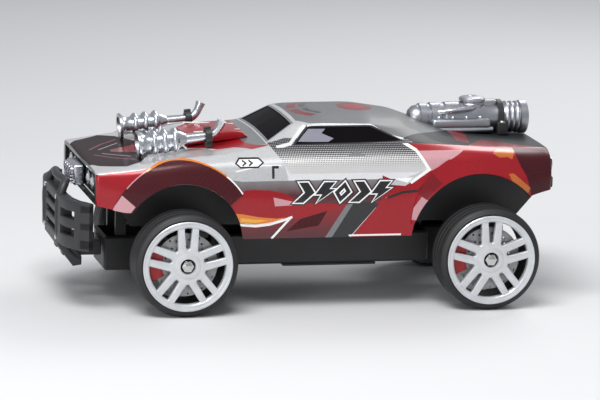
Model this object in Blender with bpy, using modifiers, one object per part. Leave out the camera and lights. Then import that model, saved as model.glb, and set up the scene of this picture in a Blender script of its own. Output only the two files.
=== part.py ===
"""A 1:16 radio-controlled drift car: painted shell, four-wheel-drive chassis, steering and wheels.

The car faces +X, its left side is +Y and +Z is up. Every size below is in millimetres and becomes
metres where a shape is made. Places along X are measured from the middle of the wheelbase; one parent
empty then moves the whole car so that the middle of its bounding box stands over the world origin.
"""

import math

import bmesh
import bpy
from mathutils import Matrix

MM = 0.001
GAP = 0.3  # clearance between pieces that touch on the real car
SHARP_ANGLE = math.radians(35)  # edges flatter than this are shaded as one round surface

# Overall
WHEELBASE = 178.6
FRONT_REACH = 158.0  # from mid-wheelbase to the front of the bumper
REAR_REACH = 134.0  # from mid-wheelbase to the tail
AXLE_X = WHEELBASE / 2
AXLE_Z = 30.0

# Wheels
TYRE_RADIUS = 30.0
TYRE_INNER_RADIUS = 24.5
WHEEL_WIDTH = 27.0
WHEEL_OUTER_Y = 75.0
WHEEL_Y = WHEEL_OUTER_Y - WHEEL_WIDTH / 2
RIM_LIP_RADIUS = 26.0
RIM_BARREL_RADIUS = TYRE_INNER_RADIUS - GAP
RIM_BARREL_WALL = 1.4
SPOKE_PAIRS = 5
DISC_RADIUS = 18.4
AXLE_RADIUS = 1.5
AXLE_BORE = 1.8

# Steering
KINGPIN_Y = 47.0
STEER_ARM = 14.0
RACK_X = AXLE_X - STEER_ARM
RACK_Z = 41.8
RACK_HEIGHT = 3.0
SERVO_ARM_LENGTH = 13.3
PIN_RADIUS = 1.0

# Drive train
SHAFT_RADIUS = 1.25
SPUR_MODULE = 0.5
SPUR_TEETH = 30
PINION_TEETH = 12
SPUR_X = -66.0
SPUR_WIDTH = 4.0
MOTOR_Z = AXLE_Z + SPUR_MODULE * (SPUR_TEETH + PINION_TEETH) / 2
BEVEL_MODULE = 0.8
CROWN_TEETH = 20
BEVEL_TEETH = 10
CROWN_RADIUS = BEVEL_MODULE * CROWN_TEETH / 2
BEVEL_RADIUS = BEVEL_MODULE * BEVEL_TEETH / 2
BEVEL_SMALL_END = 0.67  # small end of a bevel gear as a share of its large end
BEVEL_ROOT = 1.5  # depth of a bevel gear's tooth root below its pitch cone, in modules

# Body shell: rails that run along the car, each point (x, y, z)
SHELL_WALL = 1.6
SHELL_NOSE_X = 140.0
SHELL_TAIL_X = -130.0
RAIL_CENTRE = [(140, 0, 83), (113, 0, 85), (91, 0, 87.2), (66, 0, 90.8), (40, 0, 95.5), (19, 0, 107),
               (4, 0, 109), (-26, 0, 109), (-46, 0, 106.5), (-74, 0, 96.5), (-90, 0, 93.6), (-130, 0, 90.5)]
RAIL_MIDDLE = [(140, 21, 83), (113, 21, 85), (91, 21, 87.2), (66, 21, 90.8), (39.5, 22, 95.2),
               (19.5, 18, 106.6), (4, 20, 108.4), (-26, 20, 108.4), (-46, 18, 105.6), (-74, 9, 96.4),
               (-90, 11, 93.6), (-130, 12, 90.5)]
RAIL_ROOF_EDGE = [(140, 42, 82.8), (113, 43, 85.2), (91, 43, 87.6), (66, 43, 91), (38.5, 42, 94.4),
                  (20, 34, 105.4), (13, 39, 104.9), (-24, 39.5, 104.9), (-46, 34, 101.3),
                  (-74, 18, 96.1), (-90, 24, 93.4), (-130, 26, 90.4)]
RAIL_BELT = [(140, 53, 82), (113, 54, 85.6), (91, 53, 88.6), (66, 53, 90.5), (38, 50, 93.4), (26, 50, 94),
             (-35, 50, 94.8), (-47, 49, 95.2), (-83, 48, 92.6), (-108, 46, 91), (-130, 43, 90)]
RAIL_SHOULDER = [(140, 57, 80.6), (113, 60, 83.6), (91, 60.5, 87.2), (66, 60, 86), (40, 59, 86.5),
                 (0, 59, 87), (-47, 59, 88.5), (-84, 58, 90.6), (-108, 56, 88.6), (-130, 51, 86)]
RAIL_WAIST = [(140, 57.5, 72), (118, 62.5, 72), (91, 64.5, 73), (58, 63.4, 68), (30, 62.4, 66),
              (-35, 62.4, 66), (-56, 63.4, 70), (-84, 64.5, 75), (-113, 61.5, 74), (-130, 54, 76)]
RAIL_SILL = [(140, 56.5, 63), (124, 60.5, 59.5), (117, 62, 59.5), (112, 62, 43), (-104, 62, 43),
             (-112, 61, 64), (-130, 53.5, 67)]
SHELL_RAILS = (RAIL_CENTRE, RAIL_MIDDLE, RAIL_ROOF_EDGE, RAIL_BELT, RAIL_SHOULDER, RAIL_WAIST, RAIL_SILL)
SHELL_STATIONS = (140, 126, 113, 102, 91, 78, 66, 52, 39, 30, 20, 12, 0, -12, -24, -35, -46, -60, -74,
                  -84, -96, -108, -120, -130)
FRONT_ARCH = (90.0, 41.0, 34.6)  # x, z and radius
REAR_ARCH = (-84.5, 38.0, 40.5)

# Chassis tub
TUB_WALL = 1.8
TUB_MID = (-62.0, 74.0, 34.0, 22.0, 40.0)  # low x, high x, half width, low z, high z
TUB_REAR = (-112.0, -60.0, 18.0, 17.0, 40.0)
TUB_FRONT = (72.0, 128.0, 18.0, 17.0, 37.0)
WING_Y = 35.0  # middle of the inner wings' walls
WING_FOOT = 46.5

# Hood pipes and rear engine
PIPE_Y = 30.0
PIPE_Z = 93.5  # height of the pipe's axis at its front flange
FLANGE_X = 109.5
PIPE_TILT = math.radians(6.2)  # the pipes rise towards the windscreen with the hood
PIPE_RIB_STEP = 6.1
CLIP_X = -39.4  # from the flange, along the pipe
CLIP_FOOT = -6.4
ENGINE_Z = 101.2
ENGINE_CAP = 12.9  # top of the carburettor above the engine's axis
BRACKET_X = -111.0
BRACKET_FOOT = -8.7


def clear_scene():
    for obj in list(bpy.data.objects):
        bpy.data.objects.remove(obj)


def collection(name):
    made = bpy.data.collections.new(name)
    bpy.context.scene.collection.children.link(made)
    return made


def material(name, colour, roughness, metallic=0.0):
    """A plain Principled material; colour is linear red, green and blue."""
    made = bpy.data.materials.get(name) or bpy.data.materials.new(name)
    made.use_nodes = True
    shader = made.node_tree.nodes["Principled BSDF"]
    shader.inputs["Base Color"].default_value = (*colour, 1.0)
    shader.inputs["Roughness"].default_value = roughness
    shader.inputs["Metallic"].default_value = metallic
    return made


def finish_red():
    return material("painted_body", (0.45, 0.02, 0.03), 0.25, 0.2)


def finish_black_plastic():
    return material("black_plastic", (0.02, 0.02, 0.022), 0.5)


def finish_grey_plastic():
    return material("grey_plastic", (0.09, 0.09, 0.1), 0.55)


def finish_glass():
    return material("black_glass", (0.01, 0.01, 0.012), 0.08)


def finish_chrome():
    return material("chrome_plated", (0.6, 0.62, 0.66), 0.18, 1.0)


def finish_steel():
    return material("steel", (0.5, 0.5, 0.5), 0.3, 1.0)


def finish_rim():
    return material("rim_white_metal", (0.8, 0.82, 0.84), 0.25, 0.3)


def finish_disc():
    return material("brake_metal", (0.45, 0.46, 0.48), 0.35, 0.9)


def finish_tyre():
    return material("tyre_plastic", (0.015, 0.015, 0.016), 0.7)


def finish_lamp():
    return material("lamp_lens", (0.75, 0.78, 0.8), 0.1)


def finish_tail_lamp():
    return material("tail_lens", (0.5, 0.01, 0.01), 0.15)


def finish_board():
    return material("circuit_board", (0.02, 0.16, 0.05), 0.5)


def finish_battery():
    return material("battery_wrap", (0.03, 0.09, 0.3), 0.4)


def finish_gear():
    return material("gear_nylon", (0.75, 0.73, 0.66), 0.5)


def new_object(name, mesh):
    obj = bpy.data.objects.new(name, mesh)
    CAR.objects.link(obj)
    return obj


def axis_marker(name, place, parent, turn=0.0):
    """An empty on a joint's axis, or at the centre of an assembly; place is in millimetres."""
    empty = bpy.data.objects.new(name, None)
    CAR.objects.link(empty)
    empty.parent = parent
    empty.location = [v * MM for v in place]
    empty.rotation_euler = (0.0, 0.0, turn)
    empty.empty_display_size = 0.01
    return empty


def place(obj, finish, parent, where=(0, 0, 0), turn=(0, 0, 0)):
    """Gives a finished shape its material, parent, place in millimetres and rotation in radians."""
    obj.data.materials.clear()
    obj.data.materials.append(finish)
    obj.parent = parent
    obj.location = [v * MM for v in where]
    obj.rotation_euler = turn
    obj.data.shade_smooth()
    obj.data.set_sharp_from_angle(angle=SHARP_ANGLE)
    return obj


ALONG_X = (0.0, math.pi / 2, 0.0)  # turns a shape's own Z to face +X
ALONG_Y = (-math.pi / 2, 0.0, 0.0)  # turns a shape's own Z to face +Y


def applied(obj):
    """Bakes the modifiers and the object's own placing into its mesh."""
    bpy.context.view_layer.update()
    evaluated = obj.evaluated_get(bpy.context.evaluated_depsgraph_get())
    mesh = bpy.data.meshes.new_from_object(evaluated)
    mesh.transform(obj.matrix_world)
    obj.modifiers.clear()
    obj.data = mesh
    obj.matrix_world = Matrix.Identity(4)
    return obj


def from_bmesh(name, shape):
    mesh = bpy.data.meshes.new(name)
    bmesh.ops.recalc_face_normals(shape, faces=shape.faces)
    shape.to_mesh(mesh)
    shape.free()
    return new_object(name, mesh)


def box(name, low, high, bevel=0.0):
    """A box between two corners, with its edges rounded by bevel."""
    shape = bmesh.new()
    bmesh.ops.create_cube(shape, size=1.0)
    for vertex in shape.verts:
        for i in range(3):
            vertex.co[i] = ((low[i] + high[i]) / 2 + vertex.co[i] * (high[i] - low[i])) * MM
    if bevel:
        bmesh.ops.bevel(shape, geom=shape.edges[:], offset=bevel * MM, segments=1, affect="EDGES")
    return from_bmesh(name, shape)


def rod(name, radius, low, high, sides=20, end_radius=None):
    """A cylinder, or a cone frustum, on its own Z axis from low to high."""
    shape = bmesh.new()
    bmesh.ops.create_cone(shape, cap_ends=True, segments=sides, radius1=radius * MM,
                          radius2=(radius if end_radius is None else end_radius) * MM,
                          depth=(high - low) * MM)
    bmesh.ops.translate(shape, verts=shape.verts, vec=(0, 0, (high + low) / 2 * MM))
    return from_bmesh(name, shape)


def turned(name, profile, steps=28, closed=False):
    """A solid of revolution about its own Z; profile is (radius, height) down the outer side."""
    mesh = bpy.data.meshes.new(name)
    points = [(radius * MM, 0.0, height * MM) for radius, height in profile]
    edges = [(i, i + 1) for i in range(len(points) - 1)]
    if closed:
        edges.append((len(points) - 1, 0))
    mesh.from_pydata(points, edges, [])
    obj = new_object(name, mesh)
    screw = obj.modifiers.new("turn", "SCREW")
    screw.axis = "Z"
    screw.steps = steps
    screw.render_steps = steps
    screw.use_merge_vertices = True
    screw.merge_threshold = 1e-5
    applied(obj)
    shape = bmesh.new()
    shape.from_mesh(obj.data)
    bmesh.ops.remove_doubles(shape, verts=shape.verts, dist=1e-6)
    bmesh.ops.recalc_face_normals(shape, faces=shape.faces)
    shape.to_mesh(obj.data)
    shape.free()
    return obj


def prism(name, outlines, low, high):
    """Flat outlines in XY, holes among them, extruded along Z from low to high."""
    curve = bpy.data.curves.new(name, "CURVE")
    curve.dimensions = "2D"
    curve.fill_mode = "BOTH"
    curve.extrude = (high - low) / 2 * MM
    for outline in outlines:
        spline = curve.splines.new("POLY")
        spline.points.add(len(outline) - 1)
        for point, (x, y) in zip(spline.points, outline):
            point.co = (x * MM, y * MM, 0.0, 1.0)
        spline.use_cyclic_u = True
    guide = new_object(name + "_outline", curve)
    bpy.context.view_layer.update()
    mesh = bpy.data.meshes.new_from_object(guide.evaluated_get(bpy.context.evaluated_depsgraph_get()))
    bpy.data.objects.remove(guide)
    shape = bmesh.new()
    shape.from_mesh(mesh)
    bmesh.ops.remove_doubles(shape, verts=shape.verts, dist=1e-6)
    bmesh.ops.translate(shape, verts=shape.verts, vec=(0, 0, (high + low) / 2 * MM))
    return from_bmesh(name, shape)


def bent_tube(name, points, radius, sides=2):
    """A round bar through points, as a curve with a bevel and filled caps, made a mesh."""
    curve = bpy.data.curves.new(name, "CURVE")
    curve.dimensions = "3D"
    curve.bevel_depth = radius * MM
    curve.bevel_resolution = sides
    curve.use_fill_caps = True
    spline = curve.splines.new("POLY")
    spline.points.add(len(points) - 1)
    for point, (x, y, z) in zip(spline.points, points):
        point.co = (x * MM, y * MM, z * MM, 1.0)
    guide = new_object(name + "_route", curve)
    bpy.context.view_layer.update()
    mesh = bpy.data.meshes.new_from_object(guide.evaluated_get(bpy.context.evaluated_depsgraph_get()))
    bpy.data.objects.remove(guide)
    shape = bmesh.new()
    shape.from_mesh(mesh)
    bmesh.ops.remove_doubles(shape, verts=shape.verts, dist=1e-6)
    return from_bmesh(name, shape)


def moved(obj, where=(0, 0, 0), turn=(0, 0, 0)):
    """Moves a raw shape before it is joined to another or cut from it."""
    obj.location = [v * MM for v in where]
    obj.rotation_euler = turn
    return applied(obj)


def combine(target, tool, operation):
    """Joins tool to target, or cuts it away, and removes the tool."""
    modifier = target.modifiers.new("combine", "BOOLEAN")
    modifier.operation = operation
    modifier.solver = "EXACT"
    modifier.object = tool
    applied(target)
    bpy.data.objects.remove(tool)
    return target


def join(target, *tools):
    for tool in tools:
        combine(target, tool, "UNION")
    return target


def cut(target, *tools):
    for tool in tools:
        combine(target, tool, "DIFFERENCE")
    return target


def keep_common(target, tool):
    return combine(target, tool, "INTERSECT")


def polar(radius, angle):
    return radius * math.cos(angle), radius * math.sin(angle)


# ---------------------------------------------------------------- wheels

def tyre_shape():
    half = WHEEL_WIDTH / 2 - 1.5
    profile = [(TYRE_INNER_RADIUS, half), (TYRE_RADIUS - 1.6, half), (TYRE_RADIUS, half - 2.2),
               (TYRE_RADIUS, -half + 2.2), (TYRE_RADIUS - 1.6, -half), (TYRE_INNER_RADIUS, -half)]
    return turned("tyre", profile, steps=28, closed=True)


def spoke_windows():
    """The narrow slot inside each pair of spokes and the wide window between two pairs."""
    inner, outer = 12.0, 22.0
    outlines = []
    for pair in range(SPOKE_PAIRS):
        middle = math.pi / 2 + pair * math.tau / SPOKE_PAIRS
        slot = [(inner + 1, -1.3), (outer - 0.5, -1.9), (outer - 0.5, 1.9), (inner + 1, 1.3)]
        outlines.append([(x * math.cos(middle) - y * math.sin(middle),
                          x * math.sin(middle) + y * math.cos(middle)) for x, y in slot])
        start = middle + math.asin(6.2 / outer)
        end = middle + math.tau / SPOKE_PAIRS - math.asin(6.2 / outer)
        first = middle + math.asin(5.8 / inner)
        last = middle + math.tau / SPOKE_PAIRS - math.asin(5.8 / inner)
        window = [polar(outer, start + (end - start) * i / 2) for i in range(3)]
        window += [polar(inner, last), polar(inner, first)]
        outlines.append(window)
    return outlines


def rim_shape():
    """Barrel, outer lip, dished face and hub, turned as one and then pierced between the spokes."""
    half = WHEEL_WIDTH / 2
    inside = RIM_BARREL_RADIUS - RIM_BARREL_WALL
    profile = [(AXLE_BORE, half - 3.2), (22.5, half - 1.0), (RIM_LIP_RADIUS, half),
               (RIM_LIP_RADIUS, half - 1.2), (RIM_BARREL_RADIUS, half - 1.2),
               (RIM_BARREL_RADIUS, -half + 1.4), (inside, -half + 1.4), (inside, half - 4.2),
               (6.0, half - 5.6), (6.0, -2.0), (AXLE_BORE, -2.0)]
    rim = turned("rim", profile, steps=20, closed=True)
    return cut(rim, prism("windows", spoke_windows(), half - 9, half + 2))


def brake_shape():
    """Drilled disc with its calliper, one moulded insert behind the spokes."""
    half = WHEEL_WIDTH / 2
    face, back = half - 7.2, half - 8.4
    disc = turned("disc", [(DISC_RADIUS, face), (DISC_RADIUS, back), (7.0, back), (7.0, face)],
                  steps=20, closed=True)
    start, end = math.radians(150), math.radians(205)
    outline = [polar(22.0, start + (end - start) * i / 3) for i in range(4)]
    outline += [polar(14.5, end - (end - start) * i / 3) for i in range(4)]
    return join(disc, prism("calliper", [outline], half - 9.6, half - 6.4))


def nut_shape():
    nut = rod("nut", 3.6, WHEEL_WIDTH / 2 - 2.6, WHEEL_WIDTH / 2 - 0.3, sides=6)
    return nut


def add_wheel(corner, parent, side):
    """One wheel on its axle line: tyre, rim, brake insert and wheel nut; its own +Y faces outwards."""
    centre = axis_marker(corner + "_wheel_axis", (0, 0, 0), parent, 0.0 if side > 0 else math.pi)
    place(tyre_shape(), finish_tyre(), centre, turn=ALONG_Y).name = corner + "_tyre"
    place(rim_shape(), finish_rim(), centre, turn=ALONG_Y).name = corner + "_rim"
    place(brake_shape(), finish_disc(), centre, turn=ALONG_Y).name = corner + "_brake_disc"
    place(nut_shape(), finish_steel(), centre, turn=ALONG_Y).name = corner + "_wheel_nut"


# ---------------------------------------------------------------- gears and shafts

def gear_outline(teeth, module, phase, scale, root_depth):
    """The toothed outline of a gear as (radius, angle), with running clearance at tip, root and flanks."""
    pitch = module * teeth / 2
    step = math.tau / teeth
    tip, root = pitch + 0.7 * module, pitch - root_depth * module
    outline = []
    for tooth in range(teeth):
        middle = phase + tooth * step
        for radius, share in ((root, -0.31), (tip, -0.13), (tip, 0.13), (root, 0.31)):
            outline.append((radius * scale, middle + share * step))
    return outline


def gear(name, teeth, module, low, high, phase=0.0, scale=1.0, bore=None, root_depth=1.1):
    """A gear on its own Z axis between low and high; scale shrinks its high end, as on a bevel gear."""
    shape = bmesh.new()
    rings = []
    for height, size in ((low, 1.0), (high, scale)):
        outline = gear_outline(teeth, module, phase, size, root_depth)
        rings.append([shape.verts.new((*(v * MM for v in polar(r, a)), height * MM)) for r, a in outline])
    count = len(rings[0])
    for i in range(count):
        j = (i + 1) % count
        shape.faces.new((rings[0][i], rings[0][j], rings[1][j], rings[1][i]))
    shape.faces.new(rings[0])
    shape.faces.new(rings[1])
    made = from_bmesh(name, shape)
    if bore:
        cut(made, rod("bore", bore, min(low, high) - 1, max(low, high) + 1, sides=16))
    return made


def crown_gear(side):
    """The large bevel gear, its own Z towards the axle line's middle, at its place on the axle."""
    wheel = gear("crown", CROWN_TEETH, BEVEL_MODULE, 0, BEVEL_RADIUS * (1 - BEVEL_SMALL_END),
                 phase=math.pi / CROWN_TEETH, scale=BEVEL_SMALL_END, root_depth=BEVEL_ROOT)
    back = rod("back", CROWN_RADIUS - 1.6, -1.4, 0.2, sides=24)
    join(wheel, back)
    turn = (math.pi / 2, 0, 0) if side > 0 else (-math.pi / 2, 0, 0)
    return moved(wheel, (0, side * BEVEL_RADIUS, 0), turn)


def add_rear_axle(parent):
    axle = moved(rod("rear_axle", AXLE_RADIUS, -WHEEL_OUTER_Y + 3.2, WHEEL_OUTER_Y - 3.2, sides=16),
                 turn=ALONG_Y)
    join(axle, crown_gear(1))
    place(axle, finish_steel(), parent)


def add_front_drive(parent):
    """The front cross shaft, with its crown gear and a drive cup just inside each knuckle."""
    reach = KINGPIN_Y - 10.1
    shaft = moved(rod("front_cross_shaft", AXLE_RADIUS, -reach, reach, sides=16), turn=ALONG_Y)
    join(shaft, crown_gear(-1))
    for side in (1, -1):
        cup = rod("cup", 2.9, side * reach - 3.2, side * reach + 3.2, sides=16)
        join(shaft, moved(cup, turn=ALONG_Y))
    place(shaft, finish_steel(), parent)


def add_centre_shaft(parent):
    """The long shaft under the battery, with a small bevel gear at each end and the spur gear on it."""
    reach = AXLE_X - CROWN_RADIUS
    shaft = moved(rod("centre_shaft", SHAFT_RADIUS, -reach, reach, sides=16), turn=ALONG_X)
    length = CROWN_RADIUS * (1 - BEVEL_SMALL_END)
    for end in (1, -1):
        bevel = gear("bevel", BEVEL_TEETH, BEVEL_MODULE, 0, length, phase=math.pi / 2,
                     scale=BEVEL_SMALL_END, root_depth=BEVEL_ROOT)
        turn = (0, math.pi / 2, 0) if end > 0 else (0, -math.pi / 2, 0)
        join(shaft, moved(bevel, (end * reach, 0, 0), turn))
    place(shaft, finish_steel(), parent)
    spur = gear("spur_gear", SPUR_TEETH, SPUR_MODULE, 0, SPUR_WIDTH, phase=math.pi / SPUR_TEETH,
                bore=SHAFT_RADIUS + GAP)
    place(spur, finish_gear(), parent, (SPUR_X, 0, 0), ALONG_X)


def add_motor(parent, pinion_axis):
    """A flat-sided can motor, with its pinion and shaft turning in front of it."""
    can = rod("drive_motor", 10.0, 0, 24, sides=28)
    cut(can, box("flat_a", (-12, 7.6, -2), (12, 12, 26)), box("flat_b", (-12, -12, -2), (12, -7.6, 26)))
    join(can, rod("boss", 3.0, -1.5, 0.5, sides=16), rod("end_cap", 5.0, 23.5, 26, sides=16))
    cut(can, rod("shaft_hole", 1.3, -3, 6, sides=12))
    turned_can = moved(can, turn=(0, 0, math.pi / 2))
    place(turned_can, finish_steel(), parent, (SPUR_X + SPUR_WIDTH + 2.4, 0, MOTOR_Z), ALONG_X)
    pinion = gear("motor_pinion", PINION_TEETH, SPUR_MODULE, 0, SPUR_WIDTH, phase=math.pi)
    join(pinion, rod("shaft", 1.0, SPUR_WIDTH - 0.5, SPUR_WIDTH + 7, sides=12))
    place(pinion, finish_gear(), pinion_axis, turn=ALONG_X)


# ---------------------------------------------------------------- chassis

def tray(name, low_x, high_x, half, low, high):
    return box(name, (low_x, -half, low), (high_x, half, high), 1.2)


def hollow(name, low_x, high_x, half, low, high):
    wall = TUB_WALL
    return box(name, (low_x + wall, -half + wall, low + wall), (high_x - wall, half - wall, high + 5))


def add_tub(parent):
    """The open tub: a wide middle tray between two narrow ones that reach under the gearboxes."""
    tub = tray("chassis_tub", *TUB_MID)
    join(tub, tray("rear_tray", *TUB_REAR), tray("front_tray", *TUB_FRONT))
    cut(tub, hollow("mid_hollow", *TUB_MID), hollow("rear_hollow", *TUB_REAR),
        hollow("front_hollow", *TUB_FRONT))
    cut(tub, moved(rod("shaft_way", 2.6, -80, 80, sides=12), (0, 0, AXLE_Z), ALONG_X))
    cut(tub, moved(rod("spur_way", 9.4, SPUR_X - 1.5, SPUR_X + SPUR_WIDTH + 1.5, sides=24),
                   (0, 0, AXLE_Z), ALONG_X))
    cut(tub, box("motor_way", (-70, -11, MOTOR_Z - 8.4), (-50, 11, 60)))
    for axle_x, half in ((AXLE_X, 5.0), (-AXLE_X, 8.5)):
        cut(tub, box("axle_way", (axle_x - half, -25, AXLE_Z - half), (axle_x + half, 25, 60)))
    cut(tub, box("battery_way", (-28, 8, 15), (22, 29, 26)))
    cut(tub, box("switch_way", (25, -24, 15), (35, -20, 26)))
    cut(tub, box("rack_way", (68, -40, RACK_Z - 5.6), (80, 40, 60)))
    place(tub, finish_black_plastic(), parent)


def gearbox(name, axle_x, sign):
    """A gear case round a bevel pair, open at the axle holes and at the shaft hole."""
    inner_end = axle_x - sign * 12.2
    outer_end = axle_x + sign * 11.4
    low_x, high_x = sorted((inner_end, outer_end))
    case = box(name, (low_x, -15.8, 19.1), (high_x, 15.8, 41.5), 1.0)
    cut(case, box("inside", (low_x + 1.5, -14.2, 20.7), (high_x - 1.5, 14.2, 39.9)))
    cut(case, moved(rod("axle_hole", 2.6, -30, 30, sides=20), (axle_x, 0, AXLE_Z), ALONG_Y))
    end = rod("shaft_hole", 2.2, -6, 6, sides=16)
    cut(case, moved(end, (inner_end, 0, AXLE_Z), ALONG_X))
    return case


def axle_tube(side):
    """A flanged tube that carries the rear axle from the gear case to the wheel."""
    tube = turned("tube", [(5.2, 46.5), (5.2, 43), (3.6, 42), (3.6, 18), (7.5, 17.4), (7.5, 15), (1.9, 15),
                           (1.9, 46.5)], steps=10, closed=True)
    turn = (-math.pi / 2, 0, 0) if side > 0 else (math.pi / 2, 0, 0)
    return moved(tube, (-AXLE_X, 0, AXLE_Z), turn)


def add_gearboxes(parent):
    rear = join(gearbox("rear_gearbox", -AXLE_X, -1), axle_tube(1), axle_tube(-1))
    place(rear, finish_grey_plastic(), parent)
    place(gearbox("front_gearbox", AXLE_X, 1), finish_grey_plastic(), parent)


def add_front_arm(name, parent, side):
    """The C-shaped carrier that holds a steering knuckle between its two arms."""
    arm = box(name, (AXLE_X - 6, 18.4, 19.4), (AXLE_X + 6, 21.4, 40.6))
    join(arm, box("lower", (AXLE_X - 6, 21, 19.4), (AXLE_X + 6, 51, 22.4)),
         box("upper", (AXLE_X - 6, 21, 37.6), (AXLE_X + 6, 51, 40.6)))
    cut(arm, moved(rod("shaft_way", 4.0, 15, 25, sides=16), (AXLE_X, 0, AXLE_Z), ALONG_Y))
    cut(arm, moved(rod("kingpin_hole", 1.6, 10, 50, sides=16), (AXLE_X, KINGPIN_Y, 0)))
    if side < 0:
        arm = moved(arm, turn=(0, 0, math.pi))
        arm = moved(arm, (2 * AXLE_X, 0, 0))
    place(arm, finish_black_plastic(), parent)


def add_knuckle(name, parent, side):
    """A steering knuckle on its kingpin: bearing block, two trunnions and the rearward steering arm."""
    knuckle = box(name, (-5.4, -5, -7.2), (5.4, 9, 7.2), 0.8)
    join(knuckle, rod("kingpin", 1.25, -10.6, 10.6, sides=16))
    join(knuckle, box("arm", (-STEER_ARM - 2, -1.6, 3.8), (-4, 1.6, 6.9)))
    join(knuckle, moved(rod("arm_pin", PIN_RADIUS, 5, 14.4, sides=12), (-STEER_ARM, 0, 0)))
    cut(knuckle, moved(rod("bearing", 3.4, -12, 3.8, sides=20), turn=ALONG_Y))
    cut(knuckle, moved(rod("bore", AXLE_BORE, 0, 12, sides=20), turn=ALONG_Y))
    if side < 0:
        mirror = knuckle.modifiers.new("other_side", "MIRROR")
        mirror.use_axis = (False, True, False)
        mirror.use_mirror_merge = False
        applied(knuckle)
        keep_side(knuckle)
    place(knuckle, finish_grey_plastic(), parent)


def keep_side(obj):
    """Keeps the mirrored copy of a shape and drops the first half of its faces."""
    shape = bmesh.new()
    shape.from_mesh(obj.data)
    shape.faces.ensure_lookup_table()
    first = shape.faces[:len(shape.faces) // 2]
    bmesh.ops.delete(shape, geom=first, context="FACES")
    bmesh.ops.recalc_face_normals(shape, faces=shape.faces)
    shape.to_mesh(obj.data)
    shape.free()


def add_stub_axle(name, parent, side):
    """The short axle that the wheel turns with, from the kingpin out to the wheel nut."""
    start = KINGPIN_Y - WHEEL_Y + 5
    stub = rod(name, AXLE_RADIUS, start, WHEEL_WIDTH / 2 - 3.2, sides=20)
    stub = moved(stub, turn=(-math.pi / 2, 0, 0) if side > 0 else (math.pi / 2, 0, 0))
    place(stub, finish_steel(), parent)


def add_rack(parent):
    """The sliding bar that joins both knuckles, slotted for their pins and for the servo arm's pin."""
    top = RACK_HEIGHT
    rack = box("steering_rack", (-2.4, -KINGPIN_Y + 2, 0), (2.4, KINGPIN_Y - 2, top))
    for y in (KINGPIN_Y, -KINGPIN_Y):
        join(rack, box("eye", (-2.4, y - 2.6, 0), (3.4, y + 2.6, top)))
        cut(rack, box("slot", (-1.3, y - 1.3, -1), (2.4, y + 1.3, top + 1)))
    cut(rack, box("servo_slot", (-4, -1.4, -1), (1.3, 1.4, top + 1)))
    place(rack, finish_grey_plastic(), parent)


def add_servo(parent, arm_axis):
    """The steering gear: its case above the centre shaft and the arm that swings the rack."""
    servo_x = RACK_X - SERVO_ARM_LENGTH
    top = RACK_Z + RACK_HEIGHT
    case = box("steering_servo", (servo_x - 20, -13, 32.2), (servo_x + 6, 13, top), 1.0)
    join(case, box("ear_left", (servo_x - 14, 12, 36), (servo_x - 2, 19, 38)),
         box("ear_right", (servo_x - 14, -19, 36), (servo_x - 2, -12, 38)))
    cut(case, moved(rod("spline_hole", 2.4, 36, 50, sides=16), (servo_x, 0, 0)))
    place(case, finish_black_plastic(), parent)
    low = top + GAP - AXLE_Z
    arm = box("servo_arm", (-3, -2.4, low), (SERVO_ARM_LENGTH + 2, 2.4, low + 2.4), 0.4)
    join(arm, rod("hub", 3.6, low, low + 3.2, sides=16), rod("spline", 1.9, low - 5, low + 0.4, sides=12))
    pin = rod("pin", PIN_RADIUS, RACK_Z + 0.6 - AXLE_Z, low + 0.6, sides=12)
    join(arm, moved(pin, (SERVO_ARM_LENGTH, 0, 0)))
    place(arm, finish_gear(), arm_axis)


def add_power(parent, switch_axis):
    """Battery pack over its cover, circuit board and the slide switch under the floor."""
    place(box("battery_pack", (-30, 4.5, 24.3), (24, 31.8, 39.3), 2.0), finish_battery(), parent)
    cover = box("battery_cover", (-31, 5, 20.2), (25, 32, 21.7), 0.5)
    for rib in range(4):
        x = -23 + rib * 13
        join(cover, box("grip", (x, 10, 19.4), (x + 3, 27, 20.6)))
    place(cover, finish_grey_plastic(), parent)
    board = box("circuit_board", (-42, -31.6, 26.0), (18, -5, 27.6))
    for x, y, height in ((-34, -26, 6), (-20, -14, 3), (-6, -24, 8), (8, -15, 4)):
        join(board, box("part", (x, y, 27), (x + 8, y + 6, 27.6 + height)))
    join(board, moved(rod("capacitor", 3.2, 27, 36, sides=16), (12, -25, 0)))
    place(board, finish_board(), parent)
    housing = box("switch_housing", (22, -28.5, 24.2), (38, -15.5, 32), 0.6)
    cut(housing, box("slot", (25, -24, 22), (35, -20, 29)))
    place(housing, finish_black_plastic(), parent)
    knob = box("power_switch", (-2.4, -1.6, -2.6), (2.4, 1.6, 6.0), 0.3)
    place(knob, finish_grey_plastic(), switch_axis)


def add_body_mounts(parent):
    """The two bridges on the tub that the shell is screwed to, each with inner wings beside its wheels."""
    for name, x, height, wing in (("front_body_mount", 118.0, 81.0, (52.0, 116.0, 126.0)),
                                  ("rear_body_mount", -106.0, 87.8, (-46.0, -112.0, -126.0))):
        low = 37.4 if x > 0 else 42.0
        bridge = height - 3
        mount = box(name, (x - 4, -WING_Y, bridge), (x + 4, WING_Y, height))
        inner_x, knee_x, outer_x = wing
        outline = [(inner_x, WING_FOOT), (knee_x, WING_FOOT), (outer_x, WING_FOOT + 16),
                   (outer_x, bridge + 1.5),
                   (inner_x, bridge + 1.5)]
        for side in (1, -1):
            post_low, post_high = sorted((side * 12, side * 16))
            join(mount, box("post", (x - 3, post_low, low), (x + 3, post_high, height - 1)))
            sheet = prism("inner_wing", [outline], side * WING_Y - 0.7, side * WING_Y + 0.7)
            join(mount, moved(sheet, turn=(math.pi / 2, 0, 0)))
        place(mount, finish_black_plastic(), parent)


# ---------------------------------------------------------------- body shell

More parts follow.
